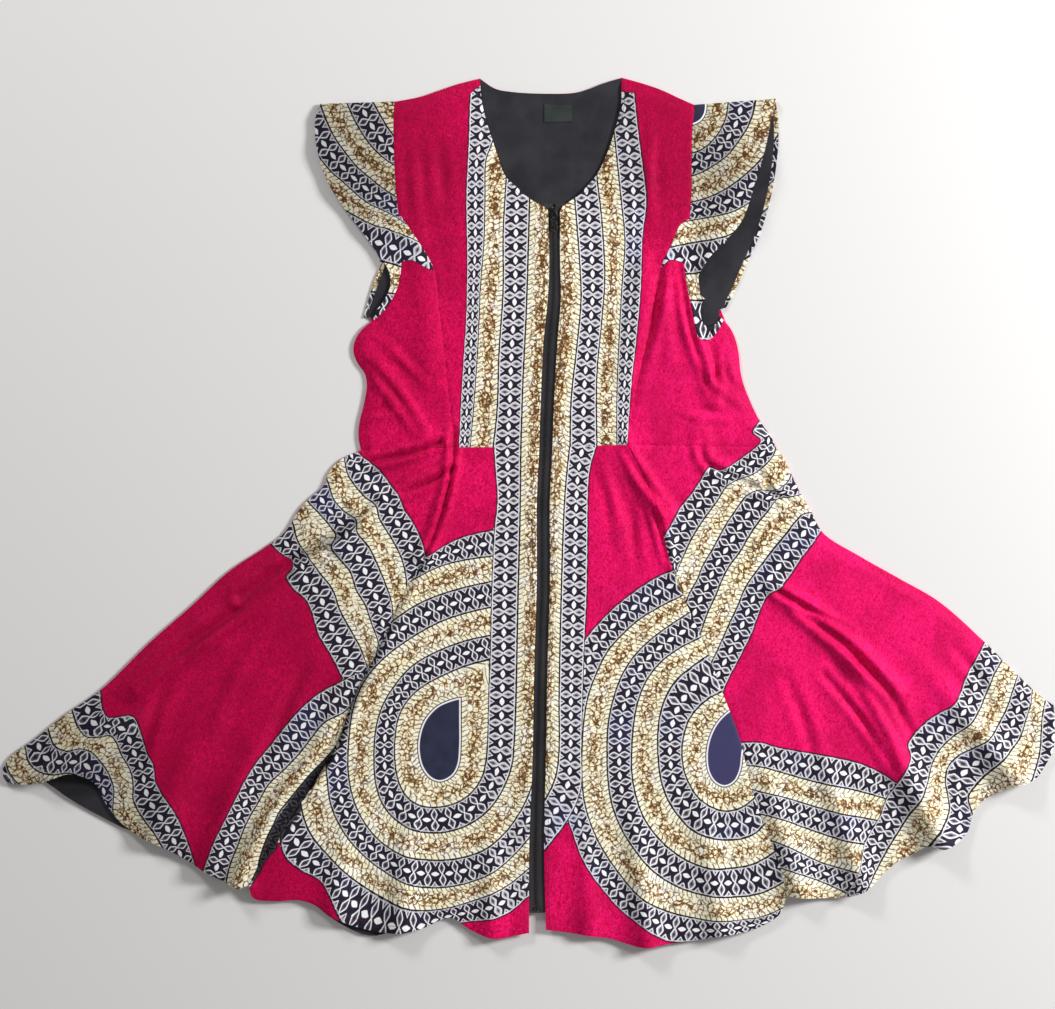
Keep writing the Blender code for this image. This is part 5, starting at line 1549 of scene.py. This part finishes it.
@dataclass
class BackAndLining:
    """Back panels, flat on the surface, and the lining over them.

    Attributes:
        cloth: wall of the back cloth, mm.
        lining: wall of the lining, mm.
        inset: how far the lining stops inside side and shoulder seams, mm.
        waist: lower edge of the bodice's lining, mm.
    """

    cloth: float = 1.2
    lining: float = 0.8
    inset: float = 12.5
    waist: float = 77.0

    def build(self) -> None:
        """Makes both back panels and both linings."""
        left, right = (joined((arm, 48), (side, 32)) for arm, side in
                       ((ARM_BACK_L, SIDE_BODICE_L), (ARM_BACK_R, SIDE_BODICE_R)))
        top = joined((SHOULDER_L[::-1], 16), (NECK_BACK, 32), (SHOULDER_R, 16))
        bodice = Patch.between(left, right, 64, top).plan()
        skirt = Patch.between(stations(SIDE_SKIRT_L, 110), stations(SIDE_SKIRT_R, 110), 180,
                              bottom=stations(HEM_BACK, 180), power=3.0).plan()
        for name, grid, cut in (("back_bodice", bodice, Cut(0.51, 0.45, 0.178)),
                                ("back_skirt", skirt, Cut(1.27, 0.60, 0.530))):
            bm = grid_sheet([grid], self.back_height, self.cloth, roll=0.0)
            settle(piece(name + "_cloth", bm, Cloth.CRIMSON), name, "crimson_cotton", cut)
        bodice = self._kept_in(bodice, PINNED[:4] + UNDERARM)
        bodice[..., 1] = np.maximum(bodice[..., 1], self.waist)
        skirt = self._kept_in(skirt[::2, ::2], PINNED[4:])
        for name, grid, cut in (("back_bodice", bodice, Cut(0.50, 0.44, 0.166)),
                                ("back_skirt", skirt, Cut(1.26, 0.60, 0.510))):
            bm = grid_sheet([grid], self.lining_height, self.lining, roll=0.0)
            settle(piece(name + "_lining_cloth", bm, Cloth.LINING), name + "_lining", "charcoal_lining", cut, [name])

    @staticmethod
    def back_height(xy: np.ndarray) -> np.ndarray:
        """Middle of the back cloth: flat, with shallow creases pressed up from below."""
        x, y = xy[:, 0], xy[:, 1]
        rise = ridges(BACK_CREASES, xy, 0.02) + 0.08 * np.sin(x / 13.0 + np.sin(y / 21.0)) * np.sin(y / 17.0)
        return 0.75 + np.clip(rise, -0.12, 0.24)

    @staticmethod
    def lining_height(xy: np.ndarray) -> np.ndarray:
        """Middle of the lining, which lies softly on the back and sinks at the ends of the neck."""
        x, y = xy[:, 0], xy[:, 1]
        rise = 0.10 * np.sin(x / 15.0 + 1.4 * np.sin(y / 26.0)) * np.sin(y / 19.0 + 0.6)
        rise += ridges(LINING_CREASES, xy, 0.05)
        corner = np.min([np.hypot(x - a, y - b) for a, b in (NECK_BACK[0], NECK_BACK[-1])], axis=0)
        return 2.35 + np.clip(rise, -0.1, 0.4) - 0.55 * ease(1.0 - corner / 26.0)

    def _kept_in(self, grid: np.ndarray, lines: list[Run]) -> np.ndarray:
        """A plan grid pushed inwards until it clears the pinned seams, but for their neck ends."""
        flat = grid.reshape(-1, 2).copy()
        centre = flat.mean(0)
        for points in lines:
            line = Line.through(points)
            probe = flat + (centre - flat) / np.linalg.norm(centre - flat, axis=1)[:, None] * 4.0
            gap, _, along = line.measure(probe)
            foot = sampled(along, lengths(line.run), line.run)
            inward = (probe - foot) / np.maximum(gap, 1e-6)[:, None]
            deep = ((flat - foot) * inward).sum(1)
            inset = np.full(len(flat), self.inset)
            if points in UNDERARM:
                inset = inset * 0.35
            if points in (SHOULDER_L, SHOULDER_R):
                inset = self.inset * ease(np.maximum(along - 2.0, 0.0) / 26.0)
            flat += inward * (np.maximum(deep, inset + 0.25 * deep) - deep)[:, None]
        return flat.reshape(grid.shape)


@dataclass
class Sleeves:
    """Flutter sleeves folded along the shoulder, with the lining inside their backs.

    Attributes:
        fine: how many times finer than the pattern's own stations.
        columns: steps from the armhole to the free edge.
        wall: cloth, mm.
        lining: wall of the lining, mm.
        low: middle of the back half above the surface, mm.
        turns: steps round the fold at the shoulder.
        plan: where the print lies.
    """

    fine: int = 4
    columns: int = 22
    wall: float = 1.2
    lining: float = 0.8
    low: float = 0.75
    turns: int = 8
    plan: PrintPlan = field(default_factory=PrintPlan)

    def build(self) -> None:
        """Makes both sleeves and both linings."""
        f = self.fine
        for side, arms, runs, lift, show, cut in (
            ("left", ((ARM_UPPER_L, 6 * f), (ARM_LOWER_L, 6 * f)), (SLEEVE_FREE_L, ARM_BACK_L, SLEEVE_BACK_FREE_L),
             1.5, self.plan.sleeve_left, Cut(0.11, 0.58, 0.034)),
            ("right", ((ARM_UPPER_R, 6 * f), (ARM_LOWER_R, 7 * f), (ARM_FOOT_R, 4 * f)),
             (SLEEVE_FREE_R, ARM_BACK_R, SLEEVE_BACK_FREE_R), 14.0, self.plan.sleeve_right, Cut(0.12, 0.62, 0.042)),
        ):
            seam = joined(*arms)
            free, *back = (stations(run, len(seam) - 1) for run in runs)
            bm = self._folded(*(np.linspace(a, b, self.columns + 1, axis=1) for a, b in ((seam, free), back)), lift)
            printed_piece("sleeve_" + side, bm, show, "wax_print", cut, "back_bodice")
        for side, seam, free, area in (("left", ARM_BACK_L, SLEEVE_BACK_FREE_L, 0.0100),
                                       ("right", ARM_BACK_R, SLEEVE_BACK_FREE_R, 0.0170)):
            inner, outer = stations(seam, 60)[2:], stations(free, 60)[2:]
            across = outer - inner
            wide = np.maximum(np.linalg.norm(across, axis=1), 1e-6)[:, None]
            grid = np.linspace(inner - across / wide * 1.6, outer - across / wide * np.minimum(5.6, 0.32 * wide), 15,
                               axis=1)
            bm = grid_sheet([grid[grid[:, 0, 1] < 474.0]], self._lining_height, self.lining, roll=0.1)
            obj = piece("sleeve_lining_%s_cloth" % side, bm, Cloth.LINING)
            settle(obj, "sleeve_lining_" + side, "charcoal_lining", Cut(0.10, 0.26, area), ["sleeve_" + side])

    @staticmethod
    def _lining_height(xy: np.ndarray) -> np.ndarray:
        """Middle of the sleeve's lining, a little over that of the back."""
        return BackAndLining.lining_height(xy) + 0.1

    def _folded(self, front: np.ndarray, back: np.ndarray, lift: float) -> bmesh.types.BMesh:
        """One sleeve: its back half flat, a round fold at the shoulder, its front half on top.

        Args:
            front, back: plan grids from the shoulder down and from the armhole out, mm.
            lift: how high the front half stands, mm.

        Returns:
            The mesh in metres.
        """
        rows, cols = front.shape[:2]
        u, w = np.linspace(0, 1, cols), np.linspace(0, 1, rows)
        fold_mid = self.low + 3.0 + 3.0 * ease(u) * lift / 14.0
        radius = (fold_mid - self.low) / 2.0
        base = FORM.front(front.reshape(-1, 2)).reshape(rows, cols)
        reach = np.vstack([np.zeros(cols), np.linalg.norm(np.diff(front, axis=0), axis=2).cumsum(axis=0)])
        puff = lift * ease(u * 1.25)[None] * (np.sin(np.pi * np.clip(w * 1.45, 0, 1)) ** 0.8)[:, None]
        high = fold_mid[None] * (1 - ease(reach / 22.0)) + base * ease(reach / 22.0) + puff * ease(reach / 60.0)
        flute = np.sin(w * 34.0 + 0.6)[:, None] * (u ** 1.5)[None] * ease(reach / 40.0) * ease((1 - w) * 4.0)[:, None]
        high = high + flute * (1.1 if lift > 5 else 0.8)
        profile = [np.column_stack([back[r], np.full(cols, self.low)]) for r in range(rows - 1, 0, -1)]
        pull = radius[:, None] * np.array([[0.0, -1.0]])
        for k in range(self.turns + 1):
            a = -math.pi / 2 + math.pi * k / self.turns
            xy = front[0] + pull * (1 - math.cos(a))
            profile.append(np.column_stack([xy, self.low + radius + radius * math.sin(a)]))
        profile += [np.column_stack([front[r], high[r]]) for r in range(1, rows)]
        mid = np.array(profile)
        across = mid[:, -1, :2] - mid[:, 0, :2]
        inset = across / np.maximum(np.linalg.norm(across, axis=1), 1e-6)[:, None] * 0.2
        mid[:, 0, :2] += inset
        mid[:, -1, :2] -= inset
        mid[:, 0, 2] -= np.where(np.arange(len(mid)) >= rows, 0.5, 0.0)
        bm = bmesh.new()
        for v, row, col in laid_out(bm, *mid.shape[:2]):
            v.co = Vector(mid[-1 - row, col]) * MM
        walled(bm, self.wall)
        return bm


@dataclass
class Zip:
    """Front zip: tapes, coil, bottom stop, slider and pull tab.

    Attributes:
        x, y: middle of the slider, mm.
        hinge: height of the tab's bar, mm.
        pitch: one turn of the coil, mm.
        tape: thickness of the tapes, mm.
        half: half width of a tape, mm.
        foot: height on the plan of the bottom stop, mm.
    """

    x: float = 32.0
    y: float = 358.0
    hinge: float = 9.5
    pitch: float = 1.5
    tape: float = 0.7
    half: float = 15.0
    foot: float = -477.2

    def line(self, count: int) -> np.ndarray:
        """Middle of the zip from its top to its lower end."""
        middle = (joined((ZIP_BODICE_L, 10), (ZIP_SKIRT_L, 20)) + joined((ZIP_BODICE_R, 10), (ZIP_SKIRT_R, 20))) / 2
        keep = middle[(middle[:, 1] > -470) & (middle[:, 1] < 340)]
        low = np.vstack([[self.x, 349.0], keep, [12.0, -483.0]])
        top = [[self.x, y] for y in (369.0, 364.0, 360.0, 356.0, 352.0)]
        return np.vstack([top, stations(low, count)])

    @staticmethod
    def outward(line: np.ndarray) -> np.ndarray:
        """Unit steps to the left of the zip, seen going down it."""
        step = np.gradient(line, axis=0)
        step = step / np.linalg.norm(step, axis=1)[:, None]
        return np.stack([step[:, 1], -step[:, 0]], axis=1)

    def build(self) -> None:
        """Makes every part of the zip."""
        line = self.line(240)
        split = 0.2 + 1.4 * ease((line[:, 1] - 350.0) / 9.0)
        shares = np.array([0.0, 0.06, 0.3, 0.62, 1.0])
        far = split[:, None] * (1 - shares) + self.half * shares
        for side, sign in (("left", 1.0), ("right", -1.0)):
            plan = line[:, None] + self.outward(line)[:, None] * (sign * far)[..., None]
            bm = grid_sheet([plan], lambda xy: 4.9 + 0.12 * np.sin(xy[:, 1] / 21.0), self.tape, roll=0.0, gap=0.02)
            settle(piece("zip_tape_%s_cloth" % side, bm, Cloth.TAPE), "zip_tape_" + side, "zip_tape",
                   Cut(0.0150, 0.86, 0.0128), ["back_bodice_lining", "back_skirt_lining"])
        self._coil(line[(line[:, 1] < 350) & (line[:, 1] > -473.5)])
        self._stop(float(line[-1, 0]))
        self._slider()
        self._tab()

    def _coil(self, line: np.ndarray) -> None:
        """Interlocked turns of the coil, each a short bent rod."""
        length = lengths(line)
        turns = int(length[-1] / self.pitch)
        at = (np.arange(turns) + 0.5) / turns * length[-1]
        middles, outs = sampled(at, length, line), sampled(at, length, self.outward(line))
        bm = bmesh.new()
        for k, ((x, y), (nx, ny)) in enumerate(zip(middles, outs)):
            side = 1.0 if k % 2 else -1.0
            for v in cube_corners(bm):
                reach = side * (-0.5 if v.co.x < 0 else 2.45)
                thick = (0.42 if v.co.y > 0 else -0.42) * (0.9 if v.co.x > 0 else 1.15)
                rise = (7.05 if v.co.z > 0 else 5.75) - (0.25 if v.co.x > 0 and v.co.z > 0 else 0.0)
                v.co = Vector((x + nx * reach - ny * thick, y + ny * reach + nx * thick, rise)) * MM
        soften(bm, bm.edges[:], 0.16, 1)
        bmesh.ops.recalc_face_normals(bm, faces=bm.faces[:])
        settle(piece("zip_teeth", bm, Cloth.COIL, 40.0), "zip_coil", "zip_coil", None)

    def _stop(self, x: float) -> None:
        """Folded staple at the zip's foot, its top face fluted."""
        bm = bmesh.new()
        for v in cube_corners(bm):
            v.co = Vector((x + v.co.x * 6.4, self.foot + v.co.y * 4.5, 6.55 + v.co.z * 1.7)) * MM
        long = [e for e in bm.edges if abs(e.verts[0].co.x - e.verts[1].co.x) > 1e-4]
        bmesh.ops.subdivide_edges(bm, edges=long, cuts=6)
        for v in bm.verts:
            if v.co.z > 6.6 * MM:
                v.co.z -= 0.35 * MM * (1 - math.cos(2 * math.pi * (v.co.x / MM - x) / 3.2)) / 2
        soften(bm, bm.edges[:], 0.25)
        settle(piece("zip_stop", bm, Cloth.METAL, 40.0), "zip_bottom_stop", "zip_metal", None)

    def _box(self, bm: bmesh.types.BMesh, lo: Point, hi: Point, round_off: float, waist: float = 0.0) -> None:
        """A softened block about the slider's middle, its sides drawn in at half its length by `waist` mm."""
        (x0, y0, z0), (x1, y1, z1) = ((self.x + x, self.y + y, z) for x, y, z in (lo, hi))
        mine = cube_corners(bm)
        for v in mine:
            v.co = Vector((x0 if v.co.x < 0 else x1, y0 if v.co.y < 0 else y1, z0 if v.co.z < 0 else z1)) * MM
        if waist:
            edges = {e for v in mine for e in v.link_edges}
            long = [e for e in edges if abs(e.verts[0].co.y - e.verts[1].co.y) > 1e-4]
            bmesh.ops.subdivide_edges(bm, edges=long, cuts=5)
            mine = [v for v in bm.verts if all(a - 0.01 <= c / MM <= b + 0.01 for a, c, b in
                                               zip((x0, y0, z0), v.co, (x1, y1, z1)))]
            for v in mine:
                t = (v.co.y / MM - y0) / (y1 - y0)
                v.co.x -= math.copysign(waist * math.sin(math.pi * t) ** 2 * MM, v.co.x - (x0 + x1) / 2 * MM)
        soften(bm, list({e for v in mine for e in v.link_edges}), round_off)

    def _slider(self) -> None:
        """Slider body: two plates, side flanges, a wedge and the bridge for the tab."""
        bm = bmesh.new()
        for z in (7.4, 3.1):
            self._box(bm, (-4.5, -6.0, z), (4.5, 6.0, z + 1.0), 0.32, 0.9)
        self._box(bm, (-1.1, 2.4, 3.6), (1.1, 5.4, 7.9), 0.2)
        for x in (-4.5, 3.6):
            self._box(bm, (x, -6.0, 5.7), (x + 0.9, 6.0, 7.9), 0.2)
        ring = 10
        for k in range(ring):
            for v in cube_corners(bm):
                a = math.pi * (k if v.co.y < 0 else k + 1) / ring
                radius, rise = (3.0, 3.1) if v.co.z > 0 else (2.0, 2.15)
                v.co = Vector((self.x + math.copysign(1.2, v.co.x), self.y - radius * math.cos(a),
                               8.3 + rise * math.sin(a))) * MM
        bmesh.ops.remove_doubles(bm, verts=bm.verts[:], dist=1e-6)
        bmesh.ops.recalc_face_normals(bm, faces=bm.faces[:])
        settle(piece("slider_body", bm, Cloth.METAL, 35.0), "zip_slider", "zip_metal", None)

    def _tab(self) -> None:
        """Pull tab: bar, two arms and a rounded plate with a slot."""
        bm = bmesh.new()
        middle = Vector((self.x, self.y, self.hinge)) * MM
        for v in bmesh.ops.create_cone(bm, cap_ends=True, segments=20, radius1=0.6 * MM, radius2=0.6 * MM,
                                       depth=6.2 * MM)["verts"]:
            v.co = middle + Vector((v.co.z, v.co.y, v.co.x))
        for x in (-3.1, 1.7):
            self._box(bm, (x, -5.2, self.hinge - 0.55), (x + 1.4, 0.3, self.hinge + 0.55), 0.25)
        # the plate is half a ring spun round its slot, drawn out along the tab
        ring = bmesh.new()
        half_ring = pairs(1.1,-0.55, 3.75,-0.55, 4.0,-0.3, 4.0,0.3, 3.75,0.55, 1.1,0.55)
        corners = [ring.verts.new((r, 0.0, z)) for r, z in half_ring]
        loop = [ring.edges.new(ends) for ends in zip(corners, corners[1:] + corners[:1])]
        bmesh.ops.spin(ring, geom=corners + loop, cent=(0, 0, 0), axis=(0, 0, 1), dvec=(0, 0, 0), angle=math.tau,
                       steps=40, use_merge=True, use_duplicate=False)
        for v in ring.verts:
            above = v.co.y > 0
            v.co = middle + Vector((v.co.x * (0.86 if above else 1.0), v.co.y + (5.6 if above else -5.6) - 14.4,
                                    v.co.z)) * MM
        bmesh.ops.recalc_face_normals(ring, faces=ring.faces[:])
        mesh = bpy.data.meshes.new("tab_plate")
        ring.to_mesh(mesh)
        ring.free()
        bm.from_mesh(mesh)
        bpy.data.meshes.remove(mesh)
        bmesh.ops.recalc_face_normals(bm, faces=bm.faces[:])
        settle(piece("pull_tab_metal", bm, Cloth.METAL, 35.0), "zip_pull_tab", "zip_metal", None, body="pull_tab")


@dataclass
class NeckLabel:
    """Bare woven label on the back lining.

    Attributes:
        top, bottom: its corners from left to right, mm.
        wall: thickness of the ribbon, mm.
    """

    top: Run = ((20, 488), (54, 487))
    bottom: Run = ((20, 466), (54, 467))
    wall: float = 0.6

    def build(self) -> None:
        """Makes the label."""
        grid = np.linspace(*(np.linspace(*np.array(row, float), 25) for row in (self.top, self.bottom)), 17)
        bm = grid_sheet([grid], lambda xy: 3.45 + 0.18 * np.sin(xy[:, 0] / 5.0) * np.sin(xy[:, 1] / 7.0), self.wall,
                        roll=0.12)
        settle(piece("neck_label_cloth", bm, Cloth.LABEL), "neck_label", "label_ribbon", Cut(0.0345, 0.021, 0.00071),
               ["back_bodice_lining"])


@dataclass
class Stitching:
    """Rows of machine stitches along edges and seams.

    Attributes:
        length: one stitch, mm.
        pitch: from one stitch to the next, mm.
        thick: thread, mm.
        lift: middle of the thread over the middle of the cloth, mm.
    """

    length: float = 2.3
    pitch: float = 3.1
    thick: float = 0.42
    lift: float = 0.7

    def row(self, bm: bmesh.types.BMesh, line: np.ndarray, side: float) -> None:
        """Adds one row of stitches beside a plan line, `side` mm to its left."""
        run = line + Zip.outward(line) * side
        length = lengths(run)
        count = int(length[-1] / self.pitch)
        at = (np.arange(count) + 0.5) / count * length[-1]
        mid = sampled(at, length, run)
        ahead = sampled(at + 0.5, length, run) - sampled(at - 0.5, length, run)
        ahead = ahead / np.maximum(np.linalg.norm(ahead, axis=1), 1e-6)[:, None]
        ends = [FORM.front(mid + ahead * (self.length * s)) for s in (-0.5, 0.5)]
        for (x, y), (dx, dy), low, high in zip(mid, ahead, *ends):
            for v in bmesh.ops.create_cone(bm, cap_ends=True, segments=5, radius1=self.thick / 2,
                                           radius2=self.thick / 2, depth=1.0)["verts"]:
                across, up, s = v.co
                v.co = Vector((x + dx * s * self.length - dy * across, y + dy * s * self.length + dx * across,
                               (low + high) / 2 + (high - low) * s + self.lift + up)) * MM

    def build(self) -> None:
        """Makes the stitch rows of the zip edges, neck and hem."""
        edges = [(stations(run, 150), side) for run, side in
                 ((ZIP_BODICE_L, 5.0), (ZIP_SKIRT_L, 5.0), (ZIP_BODICE_R, -5.0), (ZIP_SKIRT_R, -5.0))]
        edges += [(stations(run, 60)[3:-4], side) for run, side in ((NECK_L, 4.0), (NECK_R, -4.0))]
        hem = [(stations(run, 150)[4:-4], -9.0) for run in (HEM_SIDE_L, HEM_CENTRE_L, HEM_CENTRE_R, HEM_SIDE_R)]
        for name, rows, cloth, slot in (("edge_stitches", edges, Cloth.DARK_THREAD, "zip_tape"),
                                        ("hem_stitches", hem, Cloth.THREAD, "crimson_cotton")):
            bm = bmesh.new()
            for line, side in rows:
                self.row(bm, line, side)
            obj = piece(name, bm, cloth, 60.0)
            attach(obj, "dress")
        log.info("stitches sewn")


# ------------------------------------------------------------------------- studio
@dataclass
class Studio:
    """Pale floor, soft light and the camera straight above.

    Attributes:
        far: height of the camera over the surface, m.
        across: width of the picture at the dress, m.
        middle: plan point under the camera, m.
        sensor: width of the camera's sensor, mm.
    """

    far: float = 2.8
    across: float = 1.266
    middle: tuple[float, float] = (0.0, 0.0072)
    sensor: float = 36.0

    def build(self) -> None:
        """Makes the floor, lights and camera."""
        scene = bpy.context.scene
        self._floor()
        for name, place, energy, size in (("key", (2.9, 0.9, 1.6), 150.0, 0.8), ("fill", (-1.7, 2.7, 1.7), 52.0, 0.7),
                                          ("foot", (0.2, -1.8, 1.6), 4.0, 1.6)):
            lamp = bpy.data.lights.new(name, "AREA")
            lamp.energy, lamp.size = energy, size
            obj = bpy.data.objects.new(name, lamp)
            obj.location = place
            obj.rotation_mode = "QUATERNION"
            obj.rotation_quaternion = (-Vector(place)).to_track_quat("-Z", "Y")
            scene.collection.objects.link(obj)
        world = bpy.data.worlds.new("room")
        world.use_nodes = True
        light = world.node_tree.nodes["Background"].inputs
        light[0].default_value = (1.0, 1.0, 1.0, 1.0)
        light[1].default_value = 0.22
        scene.world = world
        scene.view_settings.view_transform = "Standard"
        data = bpy.data.cameras.new("camera")
        data.sensor_width = self.sensor
        data.lens = self.sensor * self.far / self.across
        camera = bpy.data.objects.new("camera", data)
        camera.location = (*self.middle, self.far + 0.006)
        scene.collection.objects.link(camera)
        scene.camera = camera

    @staticmethod
    def _floor() -> None:
        """A plain sheet just under the dress."""
        bm = bmesh.new()
        bmesh.ops.create_grid(bm, x_segments=2, y_segments=2, size=4.0)
        for v in bm.verts:
            v.co.z = -0.0006
        mesh = bpy.data.meshes.new("floor")
        bm.to_mesh(mesh)
        bm.free()
        floor = bpy.data.objects.new("floor", mesh)
        bpy.context.scene.collection.objects.link(floor)
        mat, nodes, shader = blank("pale_floor")
        nodes.fill(shader, {"Base Color": (0.72, 0.71, 0.70), "Roughness": 0.9})
        mesh.materials.append(mat)


def main() -> None:
    """Builds the dress and its studio."""
    EFFECTS.build()
    for part in (Studio, BackAndLining, FrontBodice, FrontSkirt, Sleeves, Zip, NeckLabel, Stitching):
        part().build()


if __name__ == "__main__":
    main()
